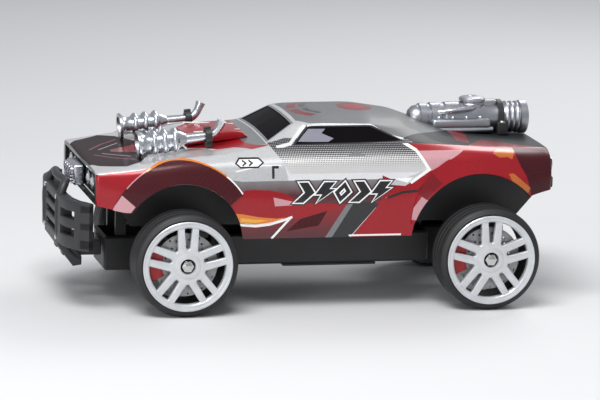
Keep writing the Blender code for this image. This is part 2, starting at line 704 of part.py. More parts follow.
def along(rail, x):
    """The rail's height and half width at x, by straight lines between its points."""
    for (xa, ya, za), (xb, yb, zb) in zip(rail, rail[1:]):
        if xb <= x <= xa:
            share = (xa - x) / (xa - xb)
            return ya + (yb - ya) * share, za + (zb - za) * share
    raise ValueError("x lies off the rail")


def shell_skin(name):
    """The shell's left half as a sheet through the rails, closed at nose and tail, open below."""
    shape = bmesh.new()
    rows = []
    for x in SHELL_STATIONS:
        row = []
        for rail in SHELL_RAILS:
            y, z = along(rail, x)
            row.append(shape.verts.new((x * MM, y * MM, z * MM)))
        rows.append(row)
    for near, far in zip(rows, rows[1:]):
        for i in range(len(near) - 1):
            shape.faces.new((near[i], near[i + 1], far[i + 1], far[i]))
    for row in (rows[0], rows[-1]):
        foot = shape.verts.new((row[0].co.x, 0.0, row[-1].co.z))
        shape.faces.new([*row, foot])
    bmesh.ops.recalc_face_normals(shape, faces=shape.faces)
    top = max(shape.faces, key=lambda face: face.calc_center_median().z)
    if top.normal.z < 0:
        bmesh.ops.reverse_faces(shape, faces=shape.faces)
    mesh = bpy.data.meshes.new(name)
    shape.to_mesh(mesh)
    shape.free()
    return new_object(name, mesh)


def shell_wall(name):
    """The whole shell's wall, before its arches and windows are cut."""
    skin = shell_skin(name)
    mirror = skin.modifiers.new("right_half", "MIRROR")
    mirror.use_axis = (False, True, False)
    mirror.merge_threshold = 1e-5
    solid = skin.modifiers.new("wall", "SOLIDIFY")
    solid.thickness = SHELL_WALL * MM
    solid.offset = -1.0
    solid.use_even_offset = True
    return applied(skin)


def windscreen_outline(inset):
    i = inset
    return [(36.5 - i, 37.5 - i), (22 + i, 31.5 - i), (22 + i, -31.5 + i), (36.5 - i, -37.5 + i)]


def side_window_outline(inset):
    """In X and Z: long belt edge, short roof edge, both ends raked."""
    i = inset
    return [(22.5 - 2.2 * i, 95.3 + i), (13.5 - i, 103.6 - i), (-23 + i, 103.6 - i),
            (-40.5 + 2.6 * i, 96.3 + i)]


def windscreen_block(name, inset):
    return prism(name, [windscreen_outline(inset)], 80, 112)


def side_window_block(name, inset, side):
    """The side window's outline extruded across the left or the right wall of the cabin."""
    block = prism(name, [side_window_outline(inset)], 36, 60)
    block = moved(block, turn=(math.pi / 2, 0, 0))
    return block if side < 0 else moved(block, (0, 96, 0))


def arch_block(arch, reach):
    x, z, radius = arch
    return moved(rod("arch", radius, -reach, reach, sides=36), (x, 0, z), ALONG_Y)


def add_shell(parent):
    """The painted shell with its wheel arches, window openings and the opening for the grille."""
    shell = shell_wall("body_shell")
    cut(shell, arch_block(FRONT_ARCH, 90), arch_block(REAR_ARCH, 90))
    cut(shell, windscreen_block("windscreen_opening", 0))
    for side in (1, -1):
        cut(shell, side_window_block("side_opening", 0, side))
    cut(shell, box("grille_opening", (134, -51, 66), (145, 51, 79.6)))
    place(shell, finish_red(), parent)


def add_windows(parent):
    screen = keep_common(shell_wall("windscreen"), windscreen_block("windscreen_edge", GAP))
    place(screen, finish_glass(), parent)
    for name, side in (("side_window_left", 1), ("side_window_right", -1)):
        pane = keep_common(shell_wall(name), side_window_block("side_edge", GAP, side))
        place(pane, finish_glass(), parent)


def add_nose(parent):
    """The black grille panel with its lamps and the plated engine block between them."""
    grille = box("front_grille", (136.2, -50.6, 66.4), (138.6, 50.6, 79.2), 0.4)
    for y in (-30, 30):
        cut(grille, box("lamp_seat", (135, y - 14.6, 68.6), (140, y + 14.6, 77.6)))
    place(grille, finish_black_plastic(), parent)
    for name, side in (("headlight_left", 1), ("headlight_right", -1)):
        lamp = box(name, (136.2, side * 30 - 14.2, 69), (137.6, side * 30 + 14.2, 77.2))
        for offset in (-7, 7):
            lens = turned("lens", [(0, 2.6), (2.4, 2.1), (3.7, 0.8), (3.7, -0.6), (0, -0.6)], steps=12)
            join(lamp, moved(lens, (137.6, side * 30 + offset, 73.1), ALONG_X))
        place(lamp, finish_lamp(), parent)
    block = box("front_engine", (139.0, -13, 66.5), (146.0, 13, 78.5), 1.2)
    for row in range(4):
        y = -10.5 + row * 7
        join(block, moved(rod("port", 2.4, -1, 1.5, sides=12), (146, y, 75), ALONG_X))
    for step in range(3):
        z = 68 + step * 2.2
        join(block, box("fin", (145, -12, z), (147.6, 12, z + 1.1)))
    place(block, finish_chrome(), parent)


def add_tail(parent):
    for name, side in (("tail_light_left", 1), ("tail_light_right", -1)):
        low, high = sorted((side * 26, side * 46))
        lamp = box(name, (-REAR_REACH + 0.6, low, 76), (SHELL_TAIL_X - GAP, high, 84), 0.6)
        place(lamp, finish_tail_lamp(), parent)
    bar = box("rear_bumper", (-REAR_REACH, -44, 66), (SHELL_TAIL_X - GAP, 44, 73), 1.2)
    place(bar, finish_black_plastic(), parent)


# ---------------------------------------------------------------- bumper, pipes and rear engine

def bumper_wing(side):
    """One swept-back side of the bumper, slotted twice."""
    plan = [(157.0, 24), (155.0, 40), (148.0, 54), (143.5, 57), (140.8, 55), (147.0, 44), (150.0, 24)]
    wing = prism("wing", [[(x, y * side) for x, y in plan]], 36, 64)
    for low in (43, 53):
        cut(wing, moved(box("slot", (-14, -8, low), (14, 8, low + 5)),
                        (151, side * 40, 0), (0, 0, side * 0.35)))
    return wing


def add_bumper(parent):
    """Bull bar, slotted centre panel, wings, chin and the two arms that hold it to the tub."""
    panel = box("front_bumper", (150.0, -26, 36), (FRONT_REACH - 1.5, 26, 64), 1.5)
    for row in range(3):
        z = 40 + row * 7.5
        cut(panel, box("slot", (145, -18, z), (165, 18, z + 3.4)))
    for side in (1, -1):
        join(panel, bumper_wing(side))
        bar = bent_tube("upright", [(144, side * 22, 25), (154.5, side * 23, 38), (155.6, side * 23, 58),
                                    (151, side * 20, 70.5)], 2.4)
        join(panel, bar)
        join(panel, box("arm", (129.2, side * 12 - 4, 26), (152, side * 12 + 4, 34.6)),
             box("arm_foot", (144, side * 12 - 4, 30), (153, side * 12 + 4, 40)))
    join(panel, bent_tube("top_bar", [(151, -22, 70), (153.4, 0, 71), (151, 22, 70)], 2.4))
    chin = prism("chin", [[(142, 22), (147, 20.8), (156.5, 34), (156.5, 39), (150, 39), (142, 27)]], -24, 24)
    join(panel, moved(chin, turn=(math.pi / 2, 0, 0)))
    place(panel, finish_grey_plastic(), parent)


def add_hood_pipe(name, parent, side):
    """A plated intake pipe: front flange, three ribs and a thin tail that bends up and back."""
    profile = [(0, 1.6), (4.8, 1.6), (5.4, 2.2), (7.3, 2.2), (7.3, -0.4), (4.8, -1.4), (4.8, -4.0)]
    for rib in range(3):
        x = -5.4 - rib * PIPE_RIB_STEP
        profile += [(6.8, x), (6.8, x - 3.0), (5.2, x - 4.3)]
    profile += [(4.6, -23), (3.0, -26.4), (0, -26.4)]
    pipe = moved(turned(name, profile, steps=12), turn=ALONG_X)
    tail = bent_tube("tail", [(-25.2, 0, 0), (-41.2, 0, 0), (-43.8, 0, 1.3), (-45.8, side * 0.8, 3.7),
                              (-48.2, side * 1.6, 7.6)], 3.0)
    join(pipe, tail)
    cut(pipe, moved(rod("mouth", 4.0, -0.5, 5, sides=16), turn=ALONG_X))
    place(pipe, finish_chrome(), parent, (FLANGE_X, side * PIPE_Y, PIPE_Z), (0, PIPE_TILT, 0))


def add_pipe_clip(name, parent, side):
    """The black clamp that holds a hood pipe's tail to the hood."""
    clip = turned(name, [(4.6, 1.6), (4.6, -1.6), (3.4, -1.6), (3.4, 1.6)], steps=16, closed=True)
    moved(clip, (CLIP_X, 0, 0), ALONG_X)
    join(clip, box("foot", (CLIP_X - 2, -2.2, CLIP_FOOT), (CLIP_X + 2, 2.2, -3.8)))
    place(clip, finish_black_plastic(), parent, (FLANGE_X, side * PIPE_Y, PIPE_Z), (0, PIPE_TILT, 0))


def add_scoop(parent):
    """The raised hood scoop in front of the windscreen."""
    outline = [(44, 95.4), (48, 98.2), (74, 97.4), (80, 94.6), (80, 89.6), (62, 92.0)]
    scoop = moved(prism("hood_scoop", [outline], -19, 19), turn=(math.pi / 2, 0, 0))
    cut(scoop, box("mouth", (74, -15, 91.2), (90, 15, 94.8)))
    place(scoop, finish_red(), parent)


def add_rear_engine(parent):
    """The plated engine that rises out of the fastback, with its rear flange, and its black bracket."""
    profile = [(0, -56), (7.0, -56), (9.0, -60), (9.0, -70), (8.4, -71), (8.4, -86), (9.2, -88), (9.2, -96),
               (8.4, -98), (8.4, -114), (9.4, -115.5), (9.4, -120), (8.4, -121), (9.8, -122.5), (9.8, -127.6),
               (7.6, -128), (7.6, -124), (0, -124)]
    engine = moved(turned("rear_engine", profile, steps=14), turn=ALONG_X)
    join(engine, box("carburettor", (-104, -6, 5), (-88, 6, ENGINE_CAP), 1.4))
    for side in (1, -1):
        join(engine, box("head", (-98, side * 9 - 4, -5.5), (-66, side * 9 + 4, 4), 1.2))
    slope = prism("slope", [[(-40, 9.5), (-75, -4.1), (-91, -7.0), (-140, -9.9), (-140, -40), (-40, -40)]],
                  -40, 40)
    cut(engine, moved(slope, turn=(math.pi / 2, 0, 0)))
    place(engine, finish_chrome(), parent, (0, 0, ENGINE_Z))
    strap = turned("engine_bracket", [(10.6, 1.8), (10.6, -1.8), (9.0, -1.8), (9.0, 1.8)], steps=24,
                   closed=True)
    moved(strap, (BRACKET_X, 0, 0), ALONG_X)
    for side in (1, -1):
        low, high = sorted((side * 9.2, side * 13))
        join(strap, box("foot", (BRACKET_X - 2, low, BRACKET_FOOT), (BRACKET_X + 2, high, -1.5)))
    cut(strap, box("below", (-130, -20, -20), (-90, 20, BRACKET_FOOT + 0.1)))
    place(strap, finish_black_plastic(), parent, (0, 0, ENGINE_Z))


# ---------------------------------------------------------------- assembly

def build():
    shift = (REAR_REACH - FRONT_REACH) / 2
    car = axis_marker("car", (shift, 0, 0), None)
    rear = axis_marker("rear_axle_line", (-AXLE_X, 0, AXLE_Z), car)
    front = axis_marker("front_axle_line", (AXLE_X, 0, AXLE_Z), car)
    centre = axis_marker("centre_shaft_line", (0, 0, AXLE_Z), car)
    pinion = axis_marker("pinion_line", (SPUR_X, 0, MOTOR_Z), car)
    rack = axis_marker("rack_line", (RACK_X, 0, RACK_Z), car)
    servo = axis_marker("servo_arm_line", (RACK_X - SERVO_ARM_LENGTH, 0, AXLE_Z), car)
    switch = axis_marker("switch_line", (28.2, -22, 22.0), car)

    add_shell(car)
    add_windows(car)
    add_nose(car)
    add_tail(car)
    add_bumper(car)
    add_scoop(car)
    add_rear_engine(car)
    add_tub(car)
    add_gearboxes(car)
    add_body_mounts(car)
    add_power(car, switch)
    add_servo(car, servo)
    add_rack(rack)
    add_motor(car, pinion)
    add_centre_shaft(centre)
    add_rear_axle(rear)
    add_front_drive(front)
    for word, side in (("left", 1), ("right", -1)):
        add_hood_pipe("hood_pipe_" + word, car, side)
        add_pipe_clip("pipe_clip_" + word, car, side)
        add_front_arm("front_arm_" + word, car, side)
        kingpin = axis_marker(f"kingpin_{word}_line", (AXLE_X, side * KINGPIN_Y, AXLE_Z), car)
        add_knuckle("knuckle_" + word, kingpin, side)
        hub = axis_marker(f"front_{word}_hub", (0, side * (WHEEL_Y - KINGPIN_Y), 0), kingpin)
        add_stub_axle(f"stub_axle_{word}", hub, side)
        add_wheel("front_" + word, hub, side)
        rear_hub = axis_marker(f"rear_{word}_hub", (0, side * WHEEL_Y, 0), rear)
        add_wheel("rear_" + word, rear_hub, side)


clear_scene()
CAR = collection("rc_drift_car")
build()
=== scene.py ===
"""The looks of the radio-controlled drift car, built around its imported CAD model.

Lengths are in millimetres until a mesh is made. X is measured from the middle of the wheelbase, forwards;
Y is to the car's left and Z is up from the ground.
"""

import math

import bmesh
import bpy
import numpy as np
from mathutils import Matrix, Quaternion, Vector


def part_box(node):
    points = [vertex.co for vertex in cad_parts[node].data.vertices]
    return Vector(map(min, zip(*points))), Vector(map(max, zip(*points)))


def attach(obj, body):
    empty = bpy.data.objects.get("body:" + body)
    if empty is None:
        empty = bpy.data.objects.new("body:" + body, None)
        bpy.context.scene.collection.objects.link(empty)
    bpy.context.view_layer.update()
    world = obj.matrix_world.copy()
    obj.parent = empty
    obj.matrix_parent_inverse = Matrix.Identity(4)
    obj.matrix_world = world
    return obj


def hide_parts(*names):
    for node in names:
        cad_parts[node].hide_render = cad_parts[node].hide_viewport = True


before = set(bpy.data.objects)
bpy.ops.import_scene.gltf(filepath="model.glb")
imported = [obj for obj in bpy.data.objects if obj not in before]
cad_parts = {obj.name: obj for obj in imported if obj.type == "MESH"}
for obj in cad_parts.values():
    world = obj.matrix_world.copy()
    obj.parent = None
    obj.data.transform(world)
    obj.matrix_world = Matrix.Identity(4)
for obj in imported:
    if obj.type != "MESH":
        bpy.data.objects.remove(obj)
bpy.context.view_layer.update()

MM = 0.001


def centre_of(node):
    low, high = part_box(node)
    return (low + high) / 2


FRONT_HUB = centre_of("front_left_tyre")
REAR_HUB = centre_of("rear_left_tyre")
MID_X = (FRONT_HUB.x + REAR_HUB.x) / 2
AXLE_X = (FRONT_HUB.x - REAR_HUB.x) / 2 / MM
AXLE_Z = FRONT_HUB.z / MM
WHEEL_Y = FRONT_HUB.y / MM
SHIFT = Matrix.Translation((MID_X, 0.0, 0.0))


def at(x, y, z):
    """A place in millimetres, with X from the middle of the wheelbase."""
    return SHIFT @ Matrix.Translation(Vector((x, y, z)) * MM)


ALONG_X = Matrix.Rotation(math.pi / 2, 4, "Y")  # turns a shape's own Z to face +X
ALONG_Y = Matrix.Rotation(-math.pi / 2, 4, "X")  # turns a shape's own Z to face +Y
FACING_X = Matrix(((0, 0, 1, 0), (1, 0, 0, 0), (0, 1, 0, 0), (0, 0, 0, 1)))  # own X and Y become Y and Z
FACING_Y = Matrix(((1, 0, 0, 0), (0, 0, -1, 0), (0, 1, 0, 0), (0, 0, 0, 1)))  # own X and Y become X and Z


# ---------------- materials

class Surface:
    """A material in the making: its nodes, which end in one Principled shader."""

    def __init__(self, name, roughness, metallic=0.0, coat=0.0, coat_roughness=0.09, ior=1.5, specular=0.5):
        self.material = bpy.data.materials.new(name)
        self.material.use_nodes = True
        self.tree = self.material.node_tree
        self.shader = self.tree.nodes["Principled BSDF"]
        self.fill(self.shader, {
            "Roughness": roughness, "Metallic": metallic, "IOR": ior, "Specular IOR Level": specular,
            "Coat Weight": coat, "Coat Roughness": coat_roughness,
        })

    def fill(self, node, inputs):
        """Links or sets each input; a colour may be given by its three channels."""
        for key, value in inputs.items():
            socket = node.inputs[key]
            if isinstance(value, bpy.types.NodeSocket):
                self.tree.links.new(value, socket)
            else:
                socket.default_value = (*value, 1.0) if socket.type == "RGBA" else value
        return node

    def node(self, kind, inputs, **settings):
        made = self.tree.nodes.new("ShaderNode" + kind)
        for key, value in settings.items():
            setattr(made, key, value)
        return self.fill(made, inputs)

    def place(self, turn=(0, 0, 0)):
        """Object coordinates."""
        here = self.node("TexCoord", {}).outputs["Object"]
        return self.node("Mapping", {"Vector": here, "Rotation": turn}).outputs["Vector"]

    def axes(self):
        return self.node("SeparateXYZ", {"Vector": self.place()}).outputs

    def math(self, operation, first, second=0.0, third=0.0):
        return self.node("Math", {0: first, 1: second, 2: third}, operation=operation).outputs[0]

    def mix(self, factor, first, second):
        return self.node("Mix", {0: factor, 6: first, 7: second}, data_type="RGBA").outputs[2]

    def noise(self, scale, detail=3.0):
        inputs = {"Vector": self.place(), "Scale": scale, "Detail": detail}
        return self.node("TexNoise", inputs).outputs["Fac"]

    def spread(self, value, low, high, start=0.0, end=1.0):
        """Rescales a value that runs from start to end, so that it runs from low to high."""
        inputs = {"Value": value, "From Min": start, "From Max": end, "To Min": low, "To Max": high}
        return self.node("MapRange", inputs).outputs["Result"]

    def mottle(self, tone, colour, darker, lighter):
        return self.mix(tone, scaled(colour, darker), scaled(colour, lighter))

    def done(self, colour, rough=None, height=None, depth=0.00005, strength=0.12):
        """Links a colour, and where given a roughness and a height, to the shader."""
        inputs = {"Base Color": colour}
        if rough is not None:
            inputs["Roughness"] = rough
        if height is not None:
            bump = self.node("Bump", {"Strength": strength, "Distance": depth, "Height": height})
            inputs["Normal"] = bump.outputs["Normal"]
        self.fill(self.shader, inputs)
        return self.material


def scaled(colour, factor):
    return tuple(min(1.0, c * factor) for c in colour)


LACQUER_GRAIN = (900.0, 1.0)  # scale and detail of the faint ripple in every print


def paint(name, colour, metallic=0.35, roughness=0.34, flake=0.16, coat=0.45):
    """Glossy print on plastic under clear lacquer, with fine metallic flake and soft mottling."""
    made = Surface(name, roughness, metallic, coat)
    cells = made.node("TexVoronoi", {"Vector": made.place(), "Scale": 2600.0}).outputs["Color"]
    sparkle = made.node("SeparateColor", {"Color": cells}).outputs["Red"]
    base = made.mottle(sparkle, colour, 1 - flake, 1 + flake)
    mottled = made.mix(made.spread(made.noise(38.0), 0.0, 0.35), base, scaled(colour, 0.72))
    rough = made.spread(made.noise(260.0), roughness - 0.05, roughness + 0.06)
    return made.done(mottled, rough, made.noise(*LACQUER_GRAIN))


def woven(name, dark, light, cell, coat=0.3, roughness=0.4, metallic=0.25, specular=0.5):
    """Printed carbon cloth: a small diagonal check of two tones under lacquer."""
    made = Surface(name, roughness, metallic, coat, specular=specular)
    turn = (math.radians(35), math.radians(35), math.radians(45))
    check = made.node("TexChecker", {"Vector": made.place(turn), "Scale": 1000.0 / cell}).outputs["Fac"]
    tone = made.spread(made.noise(60.0), 0.0, 0.3)
    cloth = made.mix(tone, made.mix(check, dark, light), scaled(dark, 0.8))
    rough = made.spread(check, roughness - 0.05, roughness + 0.08)
    return made.done(cloth, rough, made.noise(*LACQUER_GRAIN), strength=0.1)


def halftone(name, ground, dots, low, high, cell):
    """Silver print with diagonal rows of dark dots that grow from height low to height high."""
    made = Surface(name, 0.34, 0.5, 0.45)
    axes = made.axes()
    turns = math.tau / (cell * MM) / math.sqrt(2)
    waves = [made.math("SINE", made.math("MULTIPLY", made.math(way, axes["X"], axes["Z"]), turns))
             for way in ("ADD", "SUBTRACT")]
    level = made.spread(axes["Z"], 1.0, -0.85, low * MM, high * MM)
    above = made.math("MULTIPLY", made.math("SUBTRACT", made.math("MULTIPLY", *waves), level), 6.0)
    mask = made.math("SMOOTH_MIN", 1.0, made.math("MAXIMUM", 0.0, above), 0.1)
    return made.done(made.mix(mask, ground, dots), None, made.noise(*LACQUER_GRAIN))


def ramped(name, top, bottom, high, low):
    """Print that fades from one colour at height high to another at height low."""
    made = Surface(name, 0.32, 0.3, 0.45)
    fade = made.spread(made.axes()["Z"], 0.0, 1.0, high * MM, low * MM)
    shade = made.math("ADD", fade, made.spread(made.noise(220.0), -0.15, 0.15))
    return made.done(made.mix(shade, top, bottom), None, made.noise(*LACQUER_GRAIN))


def plastic(name, colour, roughness=0.5, grain=700.0, strength=0.25):
    """Moulded plastic with a fine texture."""
    made = Surface(name, roughness)
    fine = made.noise(grain, 2.0)
    rough = made.spread(fine, roughness - 0.08, roughness + 0.1)
    return made.done(made.mottle(made.noise(90.0), colour, 0.8, 1.25), rough, fine, 0.00012, strength)


def plated(name, colour, roughness=0.2):
    """Vacuum-plated plastic: bright metal with slight waviness and a dusty bloom."""
    made = Surface(name, roughness, 1.0)
    bloom = made.noise(140.0, 4.0)
    rough = made.spread(bloom, roughness - 0.03, roughness + 0.05)
    return made.done(made.mottle(bloom, colour, 0.9, 1.06), rough, made.noise(300.0, 1.0), 0.00004, 0.1)


def ringed(name, colour, roughness, metallic, pitch, depth, strength):
    """A turned surface: fine rings about the piece's own Z."""
    made = Surface(name, roughness, metallic)
    axes = made.axes()
    squares = [made.math("POWER", axes[key], 2.0) for key in "XY"]
    radius = made.math("SQRT", made.math("ADD", *squares))
    rings = made.math("SINE", made.math("MULTIPLY", radius, math.tau / (pitch * MM)))
    height = made.math("ADD", made.math("MULTIPLY", rings, 0.5), made.noise(1500.0, 1.0))
    tone = made.noise(160.0)
    rough = made.spread(tone, roughness - 0.06, roughness + 0.08)
    return made.done(made.mottle(tone, colour, 0.82, 1.15), rough, height, depth, strength)


def glass(name, colour, roughness=0.06):
    """Black glossy plastic that stands for tinted glass."""
    made = Surface(name, roughness, 0.0, 0.0, 0.03, 1.2, 0.03)
    tinted = made.mottle(made.noise(30.0), colour, 0.7, 1.3)
    return made.done(tinted, None, made.noise(300.0, 1.0), 0.00004, 0.08)


def lens(name, colour):
    """Clear or tinted moulded lamp plastic with fine ribs."""
    made = Surface(name, 0.08, 0.0, 0.5, 0.03, 1.49)
    made.fill(made.shader, {"Transmission Weight": 0.35})
    ribs = made.node("TexWave", {"Vector": made.place(), "Scale": 420.0}, bands_direction="Y").outputs["Fac"]
    return made.done(made.mix(ribs, scaled(colour, 0.85), colour), None, ribs, 0.0002, 0.25)


# Each print: what makes it, its name, and what the maker takes
PRINTS = (
    (paint, "silver", (0.68, 0.68, 0.685), 0.55, 0.3, 0.1),
    (paint, "red", (0.33, 0.004, 0.011), 0.25, 0.3, 0.16, 0.25),
    # bright: a lighter silver, printed on the door, and also used for painted highlights along the A-pillar
    # and the roof edge
    (paint, "bright", (0.80, 0.80, 0.81), 0.3, 0.3, 0.05),
    (paint, "crimson", (0.20, 0.004, 0.010), 0.25, 0.3, 0.16, 0.25),
    (woven, "maroon", (0.048, 0.005, 0.008), (0.074, 0.007, 0.011), 0.9, 0.1, 0.4, 0.25, 0.3),
    (paint, "black", (0.012, 0.012, 0.014), 0.1, 0.28, 0.3),
    (paint, "white", (0.86, 0.86, 0.85), 0.05, 0.3, 0.03),
    (paint, "pink", (0.58, 0.30, 0.33), 0.15, 0.3, 0.06),
    (paint, "orange", (0.72, 0.20, 0.02), 0.2, 0.3, 0.1),
    (paint, "amber", (0.50, 0.13, 0.02), 0.2, 0.34, 0.1),
    (paint, "yellow", (0.80, 0.42, 0.05), 0.1, 0.3, 0.06),
    (paint, "grey", (0.20, 0.205, 0.21), 0.4, 0.34),
    (woven, "roof", (0.105, 0.108, 0.112), (0.175, 0.178, 0.182), 0.9, 0.08, 0.48, 0.25, 0.35),
    (woven, "carbon", (0.018, 0.0185, 0.020), (0.036, 0.037, 0.039), 0.9, 0.06, 0.5, 0.1, 0.2),
    (woven, "hood", (0.010, 0.003, 0.004), (0.020, 0.004, 0.006), 1.0, 0.05, 0.4, 0.25, 0.12),
    (halftone, "halftone", (0.72, 0.71, 0.70), (0.06, 0.06, 0.064), 82.0, 94.0, 1.4),
    (ramped, "smoke", (0.22, 0.22, 0.225), (0.10, 0.018, 0.022), 76.5, 68.0),
    (ramped, "wedge", (0.26, 0.008, 0.014), (0.085, 0.016, 0.02), 60.0, 45.0),
)
PAINTS = {key: make("print_" + key, *values) for make, key, *values in PRINTS}
PAINTS["inside"] = plastic("shell_inside", (0.012, 0.012, 0.013), 0.55)
PAINT_ORDER = list(PAINTS)

RUBBER = ringed("tyre_rubber", (0.016, 0.016, 0.017), 0.55, 0.0, 0.7, 0.00008, 0.25)
RIM_PAINT = ringed("rim_silver", (0.62, 0.635, 0.65), 0.3, 0.4, 1.7, 0.00001, 0.03)
DISC_METAL = ringed("disc_metal", (0.42, 0.425, 0.43), 0.42, 0.45, 0.5, 0.00004, 0.35)
CALLIPER_RED = plastic("calliper_red", (0.42, 0.012, 0.016), 0.35, 500.0, 0.1)
NUT_METAL = plated("nut_metal", (0.62, 0.62, 0.61), 0.24)
CHROME = plated("chrome_plate", (0.60, 0.62, 0.66), 0.27)
SATIN = plated("satin_plate", (0.42, 0.43, 0.46), 0.36)
# Near-black painted shade: closes the bores of the pipes, engine and blower stacks and the hub recess,
# darkens the rim barrel, and fills the openings behind the grille, lamps, bumper slots and scoop mouth.
PAINTED_SHADE = plastic("painted_shade_dark", (0.01, 0.01, 0.011), 0.6)
BLACK = plastic("black_plastic_moulded", (0.018, 0.018, 0.019), 0.46)
GREY = plastic("grey_plastic_moulded", (0.024, 0.024, 0.026), 0.46)
SCREEN = glass("screen_black", (0.006, 0.005, 0.006))
SCREEN_SHEEN = glass("screen_sheen", (0.22, 0.215, 0.26), 0.16)
LAMP_CLEAR = lens("lamp_clear", (0.80, 0.83, 0.86))
LAMP_RED = lens("lamp_red", (0.55, 0.01, 0.012))
STEEL = plated("steel_turned", (0.50, 0.50, 0.50), 0.3)
NYLON = plastic("nylon_white", (0.62, 0.60, 0.54), 0.42, 500.0, 0.1)
SHRINK_FILM = plastic("battery_film", (0.03, 0.10, 0.32), 0.28, 260.0, 0.15)
SOLDER_MASK = plastic("board_mask", (0.02, 0.16, 0.05), 0.35, 900.0, 0.3)


# ---------------- mesh helpers

SIDES = (("left", 1), ("right", -1))


class Piece:
    """Collects shapes into one mesh, each shape with its own material."""

    def __init__(self, name):
        self.name = name
        self.shape = bmesh.new()
        self.materials = []

    def add(self, shape, finish, *moves):
        """Takes over a bmesh in millimetres; the moves are matrices in millimetres, applied in order."""
        for move in moves:
            bmesh.ops.transform(shape, matrix=move, verts=shape.verts)
        if finish not in self.materials:
            self.materials.append(finish)
        for face in shape.faces:
            face.material_index = self.materials.index(finish)
        held = bpy.data.meshes.new("held")
        shape.to_mesh(held)
        shape.free()
        self.shape.from_mesh(held)
        bpy.data.meshes.remove(held)
        return self

    def turn(self, profile, steps, finish, *moves):
        return self.add(lathe(profile, steps), finish, *moves)

    def box(self, finish, first, second, bevel, segments=3):
        return self.add(block(first, second, bevel, segments), finish)

    def finish(self, slot, *stands_for, body="chassis", place=SHIFT, sharp=32):
        mesh = mesh_in_metres(self.shape, self.name, self.materials)
        return finished(mesh, self.name, body, stands_for, place, sharp)


def link(name, data):
    obj = bpy.data.objects.new(name, data)
    bpy.context.scene.collection.objects.link(obj)
    return obj


def mesh_in_metres(shape, name, materials):
    """Takes over a bmesh in millimetres."""
    bmesh.ops.scale(shape, vec=(MM, MM, MM), verts=shape.verts)
    mesh = bpy.data.meshes.new(name)
    shape.to_mesh(mesh)
    shape.free()
    for finish in materials:
        mesh.materials.append(finish)
    return mesh


def finished(mesh, name, body, stands_for, place=SHIFT, sharp=32):
    """Makes the object at its place, riding on its body."""
    mesh.shade_smooth()
    mesh.set_sharp_from_angle(angle=math.radians(sharp))
    obj = link(name, mesh)
    obj.matrix_world = place
    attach(obj, body)
    if stands_for:
        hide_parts(*stands_for)
    return obj


def sheet_piece(shape, name, wall, materials, slot, *stands_for, outwards=False, inner=0, sharp=38):
    """Makes a sheet in millimetres a wall of that thickness, as a piece on the chassis.

    Inner is how many slots further the material of the wall's inner side is, at most the last slot.
    """
    bmesh.ops.dissolve_degenerate(shape, dist=0.02, edges=shape.edges)
    holder = link(name + "_sheet", mesh_in_metres(shape, name, materials))
    solid = holder.modifiers.new("wall", "SOLIDIFY")
    solid.thickness = wall * MM
    solid.offset = 1.0 if outwards else -1.0
    solid.material_offset = solid.material_offset_rim = inner
    bpy.context.view_layer.update()
    made = bpy.data.meshes.new_from_object(holder.evaluated_get(bpy.context.evaluated_depsgraph_get()))
    bpy.data.objects.remove(holder)
    finished(made, name, "chassis", stands_for, sharp=sharp)


def moved(x=0, y=0, z=0):
    return Matrix.Translation((x, y, z))


def polar(radius, angle, centre=(0, 0)):
    return centre[0] + radius * math.cos(angle), centre[1] + radius * math.sin(angle)


def arc(radius, start, end, steps, centre=(0, 0)):
    return [polar(radius, math.radians(start + (end - start) * i / steps), centre) for i in range(steps + 1)]


def circle(radius, steps, centre=(0, 0)):
    return [polar(radius, math.tau * i / steps, centre) for i in range(steps)]


def closing(points):
    """Each point with the one after it, round to the first again."""
    return zip(points, [*points[1:], points[0]])


def facing_out(shape):
    bmesh.ops.recalc_face_normals(shape, faces=shape.faces)
    return shape


def joined(shape, rings):
    """Faces between each ring of corners and the next; a ring may be a single point."""
    for first, second in rings:
        steps = max(len(first), len(second))
        for i in range(steps if steps > 1 else 0):
            corners = [first[i % len(first)], first[(i + 1) % len(first)],
                       second[(i + 1) % len(second)], second[i % len(second)]]
            shape.faces.new(list(dict.fromkeys(corners)))


def lathe(profile, steps):
    """A solid of revolution about Z from (radius, height) points; closed up if both ends are off the axis."""
    shape = bmesh.new()
    rings = [[shape.verts.new((x, y, height)) for x, y in circle(radius, steps if radius else 1)]
             for radius, height in profile]
    off_axis = profile[0][0] > 0 and profile[-1][0] > 0
    joined(shape, closing(rings) if off_axis else zip(rings, rings[1:]))
    return facing_out(shape)


def block(first, second, bevel, segments):
    """A box between two opposite corners with rounded edges."""
    shape = bmesh.new()
    bmesh.ops.create_cube(shape, size=1)
    for vertex in shape.verts:
        vertex.co = [(a + b) / 2 + place * abs(b - a) for a, b, place in zip(first, second, vertex.co)]
    edges = shape.edges[:]
    bmesh.ops.bevel(shape, geom=edges, offset=bevel, segments=segments, profile=0.5, affect="EDGES")
    return shape


def grown(outline, amount):
    """The outline pushed outwards by an amount, corner by corner."""
    area = sum(xa * yb - xb * ya for (xa, ya), (xb, yb) in closing(outline))
    sign = 1.0 if area > 0 else -1.0
    out = []
    for i, here in enumerate(outline):
        before, after = Vector(outline[i - 1]), Vector(outline[(i + 1) % len(outline)])
        first, second = (Vector(here) - before).normalized(), (after - Vector(here)).normalized()
        normal = Vector((first.y + second.y, -first.x - second.x)).normalized() * sign
        lean = max(0.55, abs(normal.dot(Vector((first.y, -first.x)))))
        out.append(tuple(Vector(here) + normal * amount / lean))
    return out


